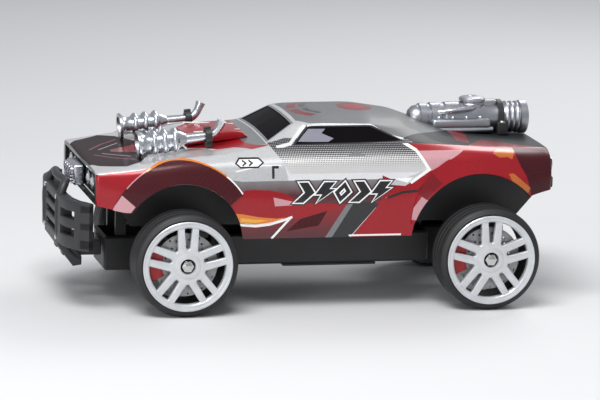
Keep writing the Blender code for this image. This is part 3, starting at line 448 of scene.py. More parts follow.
def plate(outlines, low, high, bevel=0.3, segments=2):
    """An outline in XY with holes, extruded along Z; the edges of both faces are rounded."""
    shape = bmesh.new()
    turns = [math.pi / 2 * i / segments for i in range(segments + 1)]
    rims = [(bevel * (1 - math.sin(t)), high - bevel * (1 - math.cos(t))) for t in turns]
    rims += [(inset, high + low - z) for inset, z in reversed(rims)]
    caps = ([], [])
    for number, outline in enumerate(outlines):
        rows = [[shape.verts.new((x, y, z)) for x, y in grown(outline, inset if number else -inset)]
                for inset, z in rims]
        joined(shape, zip(rows, rows[1:]))
        for cap, row in zip(caps, (rows[0], rows[-1])):
            cap.extend(shape.edges.get((row[i - 1], row[i])) for i in range(len(row)))
    for cap in caps:
        bmesh.ops.triangle_fill(shape, edges=cap, use_beauty=True)
    return facing_out(shape)


def tube(points, radii, sides=28):
    """A round bar along a smoothed path, its radius changing from point to point."""
    path = smoothed([Vector(p) for p in points])
    sizes = smoothed([Vector((r, 0, 0)) for r in radii])
    shape = bmesh.new()
    side = Vector((0, 1, 0))
    rings = []
    for i, (where, size) in enumerate(zip(path, sizes)):
        ahead = (path[min(i + 1, len(path) - 1)] - path[max(i - 1, 0)]).normalized()
        side = (side - ahead * side.dot(ahead)).normalized()
        across = ahead.cross(side)
        spots = [where + (side * c + across * s) * size.x for c, s in circle(1, sides)]
        rings.append([shape.verts.new(spot) for spot in spots])
    joined(shape, zip(rings, rings[1:]))
    shape.faces.new(rings[0])
    shape.faces.new(rings[-1])
    return facing_out(shape)


def smoothed(points, steps=6):
    """Points along a Catmull-Rom curve through the given ones."""
    ends = [points[0] * 2 - points[1], *points, points[-1] * 2 - points[-2]]
    out = []
    for before, a, b, after in zip(ends, ends[1:], ends[2:], ends[3:]):
        for i in range(steps):
            t = i / steps
            out.append(0.5 * (2 * a + (b - before) * t + (2 * before - 5 * a + 4 * b - after) * t * t
                              + (3 * a - before - 3 * b + after) * t * t * t))
    return [*out, points[-1]]


def stroke(points, width):
    """The outline of a line of that width through 2D points."""
    left, right = [], []
    for i, point in enumerate(points):
        before = Vector(points[max(i - 1, 0)])
        after = Vector(points[min(i + 1, len(points) - 1)])
        here = Vector(point)
        first = (here - before).normalized() if i else (after - here).normalized()
        second = (after - here).normalized() if i < len(points) - 1 else first
        middle = (first + second).normalized()
        across = Vector((-middle.y, middle.x)) * (width / 2 / max(0.5, middle.dot(first)))
        left.append(tuple(here + across))
        right.append(tuple(here - across))
    return left + right[::-1]


# ---------------- painted shell

# Rails along the car's left half. Each has how far its bends are softened along the car, the radius that
# rounds it across the car, and its points (x, y, z).
RAILS = (
    # along the middle
    (2.2, 0, [(140, 0, 83), (113, 0, 85), (91, 0, 87.2), (66, 0, 90.8), (40, 0, 95.5), (19, 0, 107),
     (4, 0, 108.9), (-26, 0, 108.9), (-46, 0, 106.5), (-74, 0, 96.5), (-90, 0, 93.6),
     (-130, 0, 90.5)]),
    # half way to the edge of the roof
    (2.2, 12, [(140, 21, 83), (113, 21, 85), (91, 21, 87.2), (66, 21, 90.8), (39.5, 22, 95.2),
     (19.5, 18, 106.6), (4, 20, 108.4), (-26, 20, 108.4), (-46, 18, 105.6), (-74, 9, 96.4),
     (-90, 11, 93.6), (-130, 12, 90.5)]),
    # edge of the roof
    (2, 2.2, [(140, 42, 82.8), (113, 43, 85.2), (91, 43, 87.6), (66, 43, 91), (38.5, 42, 94.4),
     (20, 34, 105.4), (13, 39, 104.9), (-24, 39.5, 104.9), (-46, 34, 101.3), (-74, 18, 96.1),
     (-90, 24, 93.4), (-130, 26, 90.4)]),
    # belt line
    (3, 2.4, [(140, 53, 82), (113, 54, 85.6), (91, 53, 88.6), (66, 53, 90.5), (38, 50, 93.4), (26, 50, 94),
     (-35, 50, 94.8), (-47, 49, 95.2), (-83, 48, 92.6), (-108, 46, 91), (-130, 43, 90)]),
    # shoulder
    (6, 4.5, [(140, 57, 80.6), (113, 60, 83.6), (91, 60.5, 87.2), (66, 60, 86), (40, 59, 86.5), (0, 59, 87),
     (-47, 59, 88.5), (-84, 58, 90.6), (-108, 56, 88.6), (-130, 51, 86)]),
    # waist
    (6, 4, [(140, 57.5, 72), (118, 62.5, 72), (91, 64.5, 73), (58, 63.4, 68), (30, 62.4, 66),
     (-35, 62.4, 66), (-56, 63.4, 70), (-84, 64.5, 75), (-113, 61.5, 74), (-130, 54, 76)]),
    # sill
    (1.2, 0, [(140, 56.5, 63), (124, 60.5, 59.5), (117, 62, 59.5), (112, 62, 43), (-104, 62, 43),
     (-112, 61, 64), (-130, 53.5, 67)]),
)
STRIP_STEPS = (4, 4, 5, 4, 9, 9)  # faces between one rail's rounding and the next
NOSE_X, TAIL_X = 140, -130
END_ROUNDING = 1.8
STATION_STEP = 1.9
NOSE_CAP, TAIL_CAP = 6, 7  # strips after the six between the rails
SECTION_MIDDLE = np.array([0, 66])  # the ends are drawn in towards it
WALL, PANE, TRIM = 1.6, 1, 0.9  # thickness of the shell, the windows and the flares
FRONT_ARCH = ((90, 41), 34.6)
FRONT_BAND = ((91, 46.5), 42)
REAR_ARCH = ((-84.5, 38), 40.5)
REAR_BAND = ((-84, 51), 40)
REAR_FLARE_TOP = 87


def rail_curve(rail, stations, softening):
    """The rail's (y, z) at each station, averaged over its neighbourhood along the car."""
    points = np.array(sorted(rail))
    total = y = z = 0.0
    for step in np.linspace(-2, 2, 9):
        weight = math.exp(-step * step / 2)
        total += weight
        y = y + weight * np.interp(stations + step * softening, points[:, 0], points[:, 1])
        z = z + weight * np.interp(stations + step * softening, points[:, 0], points[:, 2])
    return np.stack([y / total, z / total], axis=1)


def section_points(stations):
    """Rows of (y, z) across the left half at each station, and the strip of each step between them."""
    rails = [rail_curve(rail, stations, soft) for soft, _, rail in RAILS]
    columns, strips = [rails[0]], []
    start = rails[0]
    for j, count in enumerate(STRIP_STEPS):
        before, here = rails[j:j + 2]
        last = j == len(STRIP_STEPS) - 1
        entry = here if last else towards(here, before, RAILS[j + 1][1])
        for i in range(1, count + 1):
            columns.append(start + (entry - start) * i / count)
            strips.append(j)
        if not last:
            leave = towards(here, rails[j + 2], RAILS[j + 1][1])
            for i in range(1, 5):
                t = i / 4
                columns.append(entry * (1 - t) ** 2 + here * 2 * t * (1 - t) + leave * t * t)
                strips.append(j if i <= 2 else j + 1)
            start = leave
    return np.stack(columns, axis=1), strips


def towards(here, other, radius):
    """The points a rounding's radius from here towards the other rail, but never past the middle."""
    span = np.linalg.norm(other - here, axis=1, keepdims=True)
    return here + (other - here) * np.minimum(0.45, radius / span)


def end_stations():
    """Stations from nose to tail, close together at the rounded ends, with how far each is drawn in."""
    inner_nose, inner_tail = NOSE_X - END_ROUNDING, TAIL_X + END_ROUNDING
    count = round((inner_nose - inner_tail) / STATION_STEP)
    turns = [math.pi / 2 * i / 4 for i in range(4)]
    depth = np.array([END_ROUNDING * math.cos(t) for t in turns])
    draw = [END_ROUNDING * (1 - math.sin(t)) for t in turns]
    middle = np.linspace(inner_nose, inner_tail, count + 1)
    stations = np.concatenate([inner_nose + depth, middle, inner_tail - depth[::-1]])
    return stations, np.array([*draw, *([0] * len(middle)), *reversed(draw)])


def half_skin():
    """The left half of the shell's outer skin, each face marked with its strip."""
    stations, drawn = end_stations()
    sections, strips = section_points(stations)
    inwards = SECTION_MIDDLE - sections
    reach = np.linalg.norm(inwards, axis=2, keepdims=True)
    sections = sections + inwards / reach * drawn[:, None, None]
    sections[:, 0, 0] = 0.0
    shape = bmesh.new()
    layer = shape.faces.layers.int.new("strip")
    rows = [[shape.verts.new((x, y, z)) for y, z in row] for x, row in zip(stations, sections)]
    for near, far in zip(rows, rows[1:]):
        for i, strip in enumerate(strips):
            shape.faces.new((near[i], near[i + 1], far[i + 1], far[i]))[layer] = strip
    for row, strip in ((rows[0], NOSE_CAP), (rows[-1], TAIL_CAP)):
        foot = shape.verts.new((row[0].co.x, 0, row[-1].co.z))
        shape.faces.new([*row, foot])[layer] = strip
    facing_out(shape)
    if max(shape.faces, key=lambda f: f.calc_center_median().z).normal.z < 0:
        bmesh.ops.reverse_faces(shape, faces=shape.faces)
    return shape


PLANES = {"top": (0, 1), "side": (0, 2), "front": (1, 2)}


def inside(point, outline):
    """True if a 2D point lies inside the outline."""
    found = False
    for (xa, ya), (xb, yb) in closing(outline):
        if (ya > point[1]) != (yb > point[1]) and point[0] < (xb - xa) * (point[1] - ya) / (yb - ya) + xa:
            found = not found
    return found


def crosses(face, axes, corners, margin=0):
    """True if the face meets the box round the corners, seen in the plane of two axes."""
    for i, axis in enumerate(axes):
        values = [vertex.co[axis] for vertex in face.verts]
        bounds = [corner[i] for corner in corners]
        if max(values) < min(bounds) - margin or min(values) > max(bounds) + margin:
            return False
    return True


def carve(shape, outline, view, strips):
    """Splits the skin along an outline seen from that side, and returns the faces inside it."""
    axes = first, second = PLANES[view]
    layer = shape.faces.layers.int["strip"]
    near = {f for f in shape.faces if f[layer] in strips and crosses(f, axes, outline)}
    for a, b in closing(outline):
        span = Vector(b) - Vector(a)
        faces = [f for f in near if crosses(f, axes, (a, b), 1e-4)]
        if span.length < 1e-6 or not faces:
            continue
        point, normal = Vector((0, 0, 0)), Vector((0, 0, 0))
        point[first], point[second] = a
        normal[first], normal[second] = -span.y, span.x
        edges = {e for f in faces for e in f.edges}
        corners = {v for f in faces for v in f.verts}
        result = bmesh.ops.bisect_plane(shape, geom=[*faces, *edges, *corners], dist=1e-5,
                                        plane_co=point, plane_no=normal)
        near.update(f for f in result["geom"] if isinstance(f, bmesh.types.BMFace))
    middles = [(f, f.calc_center_median()) for f in near if f.is_valid]
    return [f for f, middle in middles if inside((middle[first], middle[second]), outline)]


TOP = (0, 1)
TOP_WIDE = (0, 1, 2)
SIDE = (3, 4, 5)
SIDE_TALL = (2, 3, 4, 5)
WINDOW_STRIP = (2,)
ELLIPSE_X = -23.0
ELLIPSE = [(ELLIPSE_X + 10.5 * math.cos(math.tau * i / 32), 13 * math.sin(math.tau * i / 32))
           for i in range(32)]
INNER_ELLIPSE = [(ELLIPSE_X + (x - ELLIPSE_X) * 0.62, y * 0.62) for x, y in ELLIPSE]


# Each print is its colour and its outline; one with a third item is a line of that width
TOP_PRINTS = [
    ("hood", [(141, -1), (141, 33), (136, 42), (121, 51.5), (112, 43), (104, 24), (84, 20), (72, 22),
     (72, -1)]),
    ("crimson", [(133, 8), (124, 22), (113, 33)], 1.5),
    ("silver", [(128, 6), (114, 22)], 0.8),
    ("crimson", [(122, -1), (122, 3), (102, 15), (86, 16), (104, 7), (106, -1)]),
    ("red", [(80, -1), (80, 21), (72, 26), (66, 37.5), (58, 38), (57, 38), (48, 48), (36.5, 44.5), (44, 40.5),
     (49, 30), (50, -1)]),
    ("white", [(81, -1), (81, 21), (73.5, 26.5), (68, 37)], 1.3),
    ("grey", [(50, -1), (49, 30), (44, 40.5), (38.6, 42.5), (38.6, -1)]),
    ("roof", [(18.6, -1), (18.6, 29), (12, 36.6), (-24, 38.8), (-33, 43), (-42, 45), (-52, 37), (-62, 29),
     (-76, 15), (-77, -1)]),
    # painted highlight along the rear part of the roof edge
    ("bright", [(-24, 39.6), (-34, 43.4), (-44, 45.6)], 1.3),
    ("crimson", [(17, 3), (15, 14), (8.5, 23), (4.5, 21), (10, 12), (11.5, 2)]),
    ("black", [(9.5, 3), (8, 11), (3, 19), (0, 17), (5, 10), (6, 2)]),
    ("crimson", ELLIPSE),
    ("red", INNER_ELLIPSE),
    ("carbon", [(-74.5, -1), (-74.5, 60), (-131, 60), (-131, -1)]),
    ("carbon", [(-42, 45), (-46, 60), (-90, 60), (-90, -1), (-77, -1), (-76, 15), (-62, 29), (-52, 37)]),
    ("crimson", [(-76.5, -1), (-76, 38), (-83, 42), (-89, -1)]),
    ("crimson", [(-93, 30), (-108, 36), (-122, 42), (-131, 44), (-131, 60), (-82, 60), (-81, 46)]),
]

FLASH_START, FLASH_FOOT = 25.5, 63.6
FLASH_PITCH = 11.0
FLASH_LEAN = 0.22
FLASH_HEIGHT = 0.82
CHEVRON = [(-0.4, 0), (5, 0), (10.2, 7), (5, 14), (-0.4, 14), (4.6, 7)]
BOLT = [(3.6, 14), (10, 14), (7.4, 9.2), (11, 9.2), (2, 0), (4, 5.6), (0, 5.6)]
DIAMOND = [(4.8, 0), (9.6, 7), (4.8, 14), (0, 7)]


def flash_prints():
    """The row of slanted flashes on the door, black with a pale edge; each runs rearwards from its start."""
    shapes = []
    for i, flash in enumerate((CHEVRON, BOLT, DIAMOND, CHEVRON, BOLT)):
        start = FLASH_START - i * FLASH_PITCH
        shapes.append([(start - u - FLASH_LEAN * z, z * FLASH_HEIGHT + FLASH_FOOT) for u, z in flash])
    prints = [(key, grown(shape, edge)) for key, edge in (("black", 1.6), ("white", 0.8)) for shape in shapes]
    prints += [("black", shape) for shape in shapes]
    return prints + [("white", grown(shapes[2], -2.2)), ("black", grown(shapes[2], -3))]


BADGE = [(59.5, 86.4), (57.2, 88.8), (46, 88.8), (43.6, 86.6), (46.8, 84.2), (57, 84.2)]
SIDE_PRINTS = [
    ("bright", [(31, 86), (29, 76.3), (-28, 76.3), (-40, 76.5), (-54, 82), (-47, 92), (-38, 92)]),
    ("halftone", [(38, 95), (30.5, 84.6), (28, 80), (-52, 80), (-52, 93), (-45, 96.5), (-27, 98), (28, 98)]),
    ("red", [(141, 80.6), (127, 82), (113, 83.6), (104, 86), (98, 80), (98, 40), (141, 40)]),
    ("smoke", [(68, 79.5), (62, 77.2), (56, 76.3), (-28, 76.3), (-28, 60), (66, 60)]),
    ("red", [(68, 64), (64, 68.2), (54, 71.4), (49, 71.6), (40, 71), (31, 69), (26, 66), (24, 63.4),
     (-6, 62.2), (5, 59), (23, 54), (27, 54.6), (36, 54.2), (56, 56), (62, 56)]),
    ("pink", [(38, 67), (37, 61.8), (27, 62.2), (27, 64.4)]),
    ("wedge", [(60, 53), (48, 51), (40, 51.5), (33, 53), (27, 55), (23, 54.3), (5, 59.2), (-6, 62.2), (7, 42),
     (60, 42)]),
    ("maroon", [(22, 54), (6, 58.6), (11, 50), (30, 47)]),
    ("orange", [(60, 58), (56, 57.6), (46, 55.6), (36, 54.6), (30, 55.2), (38, 52.6), (48, 51.4), (60, 53)]),
    ("yellow", [(57, 55.4), (50, 54.4), (41, 53.6), (48, 52.4), (57, 53.2)]),
    ("white", [(60, 52), (56, 51.2), (48, 50.4), (40, 51.2), (32, 53.4), (26.6, 55.4)], 1.4),
    ("white", [(27.4, 55.2), (38.5, 43)], 1.3),
    ("grey", [(-5.2, 62), (-9.8, 63.2), (3.4, 42), (7.6, 42)]),
    ("black", [(-9.6, 63.4), (-25.4, 63.4), (-6.8, 42), (3.6, 42)]),
    ("red", [(-26.6, 64.6), (-7.4, 42), (-112, 42), (-131, 58), (-131, 97), (-40, 97), (-47.4, 91.8),
     (-54, 81.6), (-44, 74.8), (-36, 70)]),
    ("red", [(-26.5, 78.4), (-33.5, 75.4), (-31, 73), (-43, 72), (-36, 69.4), (-26, 64.6), (-22, 62.5),
     (-26, 62.4)]),
    ("black", [(-29.5, 65.4), (-38, 68.6), (-49.5, 69.6)], 1.5),
    ("white", [(-33, 76.4), (-44.5, 77), (-41, 74)]),
    ("crimson", [(-56, 78), (-60.5, 74), (-50.5, 65.8), (-46.5, 69.8)]),
    ("pink", [(-49, 91.4), (-76, 91.4), (-55.4, 80.6)]),
    ("white", [(-40.6, 95.8), (-47.6, 91.8), (-54.2, 81.4), (-43, 74)], 1.7),
    ("maroon", [(-108, 97), (-107, 88), (-112.5, 76), (-116, 60), (-131, 55), (-131, 97)]),
    ("amber", [(-93, 89.6), (-97, 91), (-107, 90), (-103, 83.4), (-98, 86.4)]),
    ("white", [(-7, 43.9), (-38, 43.9)], 1),
    ("grey", [(-7, 89.4), (-17, 89.4), (-12, 92.2)]),
    ("white", [(60, 82), (44, 85), (33, 85)], 0.7),
    ("black", grown(BADGE, 0.5)),
    ("white", grown(BADGE, -0.4)),
    ("black", [(55.8, 85.1), (53.8, 86.5), (55.8, 87.9)], 0.9),
    ("black", [(52, 85.1), (50, 86.5), (52, 87.9)], 0.9),
    # a black L as painted shade for the inside of a vent slit, with a thin silver line as a painted highlight
    # on its edge
    ("black", [(34.6, 84), (37.9, 84), (37.9, 77.6)], 1.5),
    ("silver", [(35.6, 82.6), (36.4, 82.6), (36.4, 77.8)], 0.6),
    *flash_prints(),
]

WINDSCREEN = [(36.5, -1), (36.5, 37.5), (22, 31.5), (22, -1)]
SIDE_WINDOW = [(22.5, 95.3), (13.5, 103.6), (-23, 103.6), (-40.5, 96.3)]
GRILLE_OPENING = [(-1, 66), (51, 66), (51, 79.6), (-1, 79.6)]
TAIL_PANEL = [(-1, 76.4), (24, 75), (47.6, 75), (47.6, 85), (24, 85), (-1, 83.6)]
PANE_SHEEN = [(20.6, 96.6), (13.4, 103), (3.5, 103), (6.2, 100.8), (-0.5, 98.2), (3, 96.5)]
# Painted highlights: a light line down the A-pillar's edge and one along the roof edge
PILLAR_HIGHLIGHT = ([(15, 104.6), (25.5, 95.4), (34, 93.6)], 1.5)
ROOF_EDGE_HIGHLIGHT = ([(14, 38.8), (-24, 39.2)], 1.1)
SEAL = 1.3  # printed round the windows
PANE_GAP = 0.25


def both_sides(shape):
    """Adds the mirror image across the middle and joins it to the half."""
    copied = bmesh.ops.duplicate(shape, geom=shape.verts[:] + shape.edges[:] + shape.faces[:])["geom"]
    for vertex in copied:
        if isinstance(vertex, bmesh.types.BMVert):
            vertex.co.y = -vertex.co.y
    bmesh.ops.reverse_faces(shape, faces=[f for f in copied if isinstance(f, bmesh.types.BMFace)])
    middle = [v for v in shape.verts if abs(v.co.y) < 1e-4]
    bmesh.ops.remove_doubles(shape, verts=middle, dist=2e-4)


def drop(shape, faces):
    bmesh.ops.delete(shape, geom=faces, context="FACES")


def paint_faces(faces, key):
    for face in faces:
        face.material_index = PAINT_ORDER.index(key)


def paint_prints(shape, prints, view, strips):
    """Paints each print in turn: its colour, its outline or path, and a path's width."""
    for key, points, *width in prints:
        wide = SIDE_TALL if key == "halftone" else strips
        paint_faces(carve(shape, stroke(points, *width) if width else points, view, wide), key)


def make_shell(skin):
    shape = skin.copy()
    layer = shape.faces.layers.int["strip"]
    paint_faces(shape.faces, "silver")
    paint_faces([f for f in shape.faces if f[layer] == NOSE_CAP], "black")
    paint_faces([f for f in shape.faces if f[layer] == TAIL_CAP], "red")
    paint_prints(shape, TOP_PRINTS, "top", TOP_WIDE)
    paint_prints(shape, SIDE_PRINTS, "side", SIDE)
    paint_faces(carve(shape, grown(WINDSCREEN, SEAL), "top", TOP), "grey")
    # The bright lines on the A-pillar and the roof edge are painted highlights.
    frames = [("black", grown(SIDE_WINDOW, SEAL * 0.8)), ("bright", *PILLAR_HIGHLIGHT)]
    paint_prints(shape, frames, "side", WINDOW_STRIP)
    paint_prints(shape, [("bright", *ROOF_EDGE_HIGHLIGHT)], "top", (1, 2))
    drop(shape, carve(shape, WINDSCREEN, "top", TOP))
    drop(shape, carve(shape, SIDE_WINDOW, "side", WINDOW_STRIP))
    for centre, radius in (FRONT_ARCH, REAR_ARCH):
        drop(shape, carve(shape, arc(radius, 0, 356.25, 95, centre), "side", SIDE))
    drop(shape, carve(shape, GRILLE_OPENING, "front", (NOSE_CAP,)))
    paint_faces(carve(shape, TAIL_PANEL, "front", (TAIL_CAP,)), "black")
    both_sides(shape)
    sheet_piece(shape, "painted_shell", WALL, PAINTS.values(), "shell_paint", "body_shell", inner=len(PAINTS))


def patch(skin, outline, view, strips):
    """A copy of the skin's faces inside an outline."""
    shape = skin.copy()
    keep = set(carve(shape, outline, view, strips))
    drop(shape, [f for f in shape.faces if f not in keep])
    return shape


def make_windows(skin):
    screen = patch(skin, grown(WINDSCREEN, -PANE_GAP), "top", TOP)
    both_sides(screen)
    bmesh.ops.translate(screen, verts=screen.verts, vec=(0, 0, -0.45))
    sheet_piece(screen, "windscreen_glass", PANE, [SCREEN], "glass_black", "windscreen", sharp=32)
    for word, side in SIDES:
        pane = patch(skin, grown(SIDE_WINDOW, -PANE_GAP), "side", WINDOW_STRIP)
        for face in carve(pane, PANE_SHEEN, "side", WINDOW_STRIP):
            face.material_index = 1
        bmesh.ops.translate(pane, verts=pane.verts, vec=(0, -0.4, -0.35))
        if side < 0:
            bmesh.ops.scale(pane, vec=(1, -1, 1), verts=pane.verts)
            bmesh.ops.reverse_faces(pane, faces=pane.faces)
        sheet_piece(pane, "side_glass_" + word, PANE, [SCREEN, SCREEN_SHEEN], "glass_black",
                    "side_window_" + word, sharp=32)


def arch_trim(skin, name, outline, key, prints):
    """A raised flare round a wheel arch, with its own print, on both sides."""
    shape = patch(skin, outline, "side", SIDE)
    paint_faces(shape.faces, key)
    paint_prints(shape, prints, "side", SIDE)
    both_sides(shape)
    sheet_piece(shape, name, TRIM, PAINTS.values(), "shell_paint", outwards=True)


def front_band(start, end, depth, steps):
    """Part of the printed edge of the front flare, between two angles."""
    centre, radius = FRONT_BAND
    return [*arc(radius + 1, start, end, steps, centre), *arc(radius - depth, end, start, steps, centre)]


def make_arch_trims(skin):
    lip = arc(FRONT_ARCH[1] + 0.05, 28, 140.5, 44, FRONT_ARCH[0])
    edge = arc(FRONT_BAND[1], 146.5, 20, 50, FRONT_BAND[0])
    arch_trim(skin, "front_arch_trim", [*lip, *edge], "maroon", [
        ("orange", front_band(128, 60, 0.8, 30)),
        ("pink", front_band(60, 40, 0.6, 12)),
        ("white", front_band(148, 128, 0.8, 12)),
        ("pink", [(131.5, 60), (125.6, 69.6), (118, 63), (122, 57)]),
    ])
    lip = arc(REAR_ARCH[1] + 0.05, 20, 139, 50, REAR_ARCH[0])
    edge = [p for p in arc(REAR_BAND[1], 158, 68, 30, REAR_BAND[0]) if p[0] < REAR_BAND[0][0]]
    edge += arc(REAR_BAND[1], 90, -2, 44, REAR_BAND[0])
    arch_trim(skin, "rear_arch_trim", [*lip, *[p for p in edge if p[1] < REAR_FLARE_TOP]], "red", [
        ("crimson", [(-55.5, 79.5), (-61.5, 73.5), (-52, 64.4), (-44, 70)]),
        ("pink", [(-49.4, 66), (-55, 62.6), (-49, 52), (-40, 53)]),
        ("maroon", [(-107, 90), (-108, 84), (-112.5, 76), (-117, 60), (-128, 60), (-128, 90)]),
        ("amber", [(-101.5, 78), (-104.5, 78), (-115, 69.5), (-113, 66), (-103, 74.5)]),
    ])


# ---------------- wheels

SPOKE_PAIRS = 5
SLOT_INNER, SLOT_OUTER = 9.8, 22.4
DISC_RADIUS = 18.3
SPOKE_EDGE = 5.7  # from the middle of a pair to the outer edge of either spoke
TYRE_SIDE = [(24.6, 10.6), (25.4, 11.5), (26, 11.55), (26.3, 12), (26.9, 12), (27.2, 11.6), (28.3, 11.3),
             (29.2, 10.5), (29.75, 9.3), (30, 7.9)]
RIM_LIP = [(22.2, 12), (22.9, 12.9), (23.8, 13.2), (24.6, 13.1), (25.1, 13.4), (25.7, 13.4), (26, 13.1),
           (26, 12.3), (25, 12.1), (24.2, 11.2), (24.2, 8.4), (22.2, 8.6)]
RIM_BARREL = [(24.2, 8.4), (24.2, -11), (24.6, -12.1), (23.2, -12.1), (22.8, -11.4), (22.8, 8.4)]
HUB_RECESS = [(0, 10.8), (5, 10.8), (5, 10.2), (0, 10.2)]
BOSS = [(4.3, 12.2), (4.6, 13.2), (5.6, 13.3), (7, 12.9), (8.4, 12.3), (8.4, 9), (6, 7), (6, -2),
        (4.3, -2)]
DISC_HAT = [(6.2, 6.6), (7.4, 7.6), (9, 7.6), (9.6, 6.8), (9.6, 5.2), (6.2, 5.2)]
STUD = [(2.4, 12.4), (2.3, 12.8), (1.6, 13.2), (0, 13.3), (0, 12.4)]


def tyre_profile():
    """Bead, sidewall with its protector rib, shoulder and a tread with three shallow grooves."""
    tread = []
    for middle in (5, 0, -5):
        tread += [(30, middle + 0.7), (29.4, middle + 0.45), (29.4, middle - 0.45), (30, middle - 0.7)]
    return [*TYRE_SIDE, *tread, *[(r, -z) for r, z in reversed(TYRE_SIDE)]]


def turned_by(outline, angle):
    c, s = math.cos(angle), math.sin(angle)
    return [(x * c - y * s, x * s + y * c) for x, y in outline]


def spoke_openings():
    """The narrow slot inside each pair of spokes and the wide window between two pairs."""
    slot = [*arc(1.2, 90, 270, 6, (SLOT_INNER + 1.2, 0)), (SLOT_OUTER - 0.7, -2.2), (SLOT_OUTER, -1.5),
            (SLOT_OUTER, 1.5), (SLOT_OUTER - 0.7, 2.2)]
    half = math.pi / SPOKE_PAIRS
    reach = half - math.asin((SPOKE_EDGE + 0.5) / SLOT_OUTER)
    foot = SPOKE_EDGE / math.sin(half) + 0.9
    foot_half = (foot * math.sin(half) - SPOKE_EDGE) / math.cos(half)
    outer = [polar(SLOT_OUTER, -reach + reach * i / 4) for i in range(9)]
    window = [(foot, -foot_half), *outer, (foot, foot_half)]
    openings = []
    for pair in range(SPOKE_PAIRS):
        middle = math.pi / 2 + pair * 2 * half
        openings += [turned_by(slot, middle), turned_by(window, middle + half)]
    return openings


def drilled_disc():
    holes = [circle(0.62, 10, polar(10.4 + step * 2.15, math.tau * arm / 12 + step * 0.2))
             for arm in range(12) for step in range(4)]
    return plate([arc(DISC_RADIUS, 0, 354, 59), arc(6, 0, 345, 23), *holes], 4.9, 6.3, 0.15)


def make_wheel(name, hub, side, body):
    half_turn = Matrix.Rotation(math.pi, 4, "Z")
    facing = ALONG_Y @ half_turn if side > 0 else Matrix.Rotation(math.pi / 2, 4, "X")
    riding = {"body": body, "place": at(hub, side * WHEEL_Y, AXLE_Z) @ facing}
    tyre = Piece(name + "_tread").turn(tyre_profile(), 128, RUBBER)
    tyre.finish("tyre", name + "_tyre", sharp=40, **riding)
    outlines = [arc(24.2, 0, 355, 71), arc(5, 0, 350, 35), *spoke_openings()]
    rim = Piece(name + "_spokes").add(plate(outlines, 8.8, 12.6, 0.7, 3), RIM_PAINT)
    rim.turn(RIM_LIP, 96, RIM_PAINT)
    rim.turn(RIM_BARREL, 96, PAINTED_SHADE)
    rim.turn(HUB_RECESS, 32, PAINTED_SHADE)
    rim.turn(BOSS, 64, RIM_PAINT)
    rim.finish("rim_paint", name + "_rim", **riding)
    calliper = [*arc(21.6, 150, 205, 12), *arc(14.2, 205, 150, 10)]
    disc = Piece(name + "_brake").add(drilled_disc(), DISC_METAL)
    disc.add(plate([calliper], 3.9, 7.7, 0.7, 3), CALLIPER_RED)
    disc.turn(DISC_HAT, 48, DISC_METAL)
    disc.finish("brake_metal", name + "_brake_disc", **riding)
    nut = Piece(name + "_nut").add(plate([circle(3.6, 6)], 10.9, 12.7, 0.4, 3), NUT_METAL)
    nut.turn(STUD, 32, NUT_METAL)
    nut.finish("steel", name + "_wheel_nut", **riding)


def make_wheels():
    for word, side in SIDES:
        make_wheel("front_" + word, AXLE_X, side, "wheel_f" + word[0])
    for word, side in SIDES:
        make_wheel("rear_" + word, -AXLE_X, side, "rear_axle_set")


# ---------------- hood pipes and rear engine

PIPE_FLANGE = (109.5, 30, 93.5)
PIPE_TILT = math.radians(6.2)
PIPE_MOUTH = [(0, -3), (3.6, -2.8), (5, -1), (5.6, 1.4), (6.1, 2.3), (7.3, 2.5), (7.8, 2.1), (7.8, 0.9),
              (7, 0.3), (5.6, -1), (5, -2.6), (5.1, -4.6)]
PIPE_END = [(4.9, -22.6), (4.4, -23.8), (3.4, -25.4), (2.9, -26.4), (0, -26.6)]
PIPE_BORE = [(0, -2.5), (3.3, -2.3), (3.3, -2), (0, -2.1)]
RIB_STEP = 6.1
CLIP_X = -39.4
CLIP_RING = [(3.15, -1.9), (3.15, 1.9), (4.2, 1.9), (4.6, 1.5), (4.6, -1.5), (4.2, -1.9)]

ENGINE_Z = 101.2
ENGINE_NOSE = [(0, -56), (5.2, -56.4), (7.2, -58.5), (7.8, -61), (7.8, -62), (8.8, -62.4), (8.8, -66.4),
               (8.2, -67), (8.2, -68.4), (9.2, -69), (9.2, -74.6), (8.6, -75.4), (8.6, -77), (9.4, -78)]
ENGINE_CASE = [(9.6, -82), (9.6, -94), (9, -100), (8.4, -103), (8.4, -113.4)]
ENGINE_FLANGE = [(8.6, -123.3), (9.8, -123.7), (9.8, -127.3), (9.3, -127.9), (8.2, -128), (7.6, -127.4),
                 (7.4, -124.8), (0, -124.4)]
ENGINE_BORE = [(0, -124.6), (7, -125), (7, -125.4), (0, -125)]
ENGINE_CAP = [(0, 4), (7.4, 4), (7.4, 8.4), (6.8, 9.2), (6.8, 9.8), (7.8, 10.3), (7.8, 11.4), (7, 12.2),
              (4.6, 12.7), (1.8, 12.8), (1.3, 12.5), (0, 12.5)]
COVER_BOLT = [(0, 1.4), (0.8, 1.3), (1.1, 0.9), (1.1, -0.4), (0, -0.4)]
BRACKET_X = -111.0
BRACKET_FOOT = -8.7
STRAP_RING = [(8.6, 1.8), (10.1, 1.8), (10.6, 1.3), (10.6, -1.3), (10.1, -1.8), (8.6, -1.8)]
STRAP_BOLT = [(0, 1.2), (1.3, 1.1), (1.6, 0.6), (1.6, -0.5), (0, -0.5)]


def bulge(middle, half, low, high, steps):
    """Points over one rounded rib of a turned shape."""
    return [(low + (high - low) * math.sin(math.pi * i / steps), middle + half - 2 * half * i / steps)
            for i in range(steps + 1)]


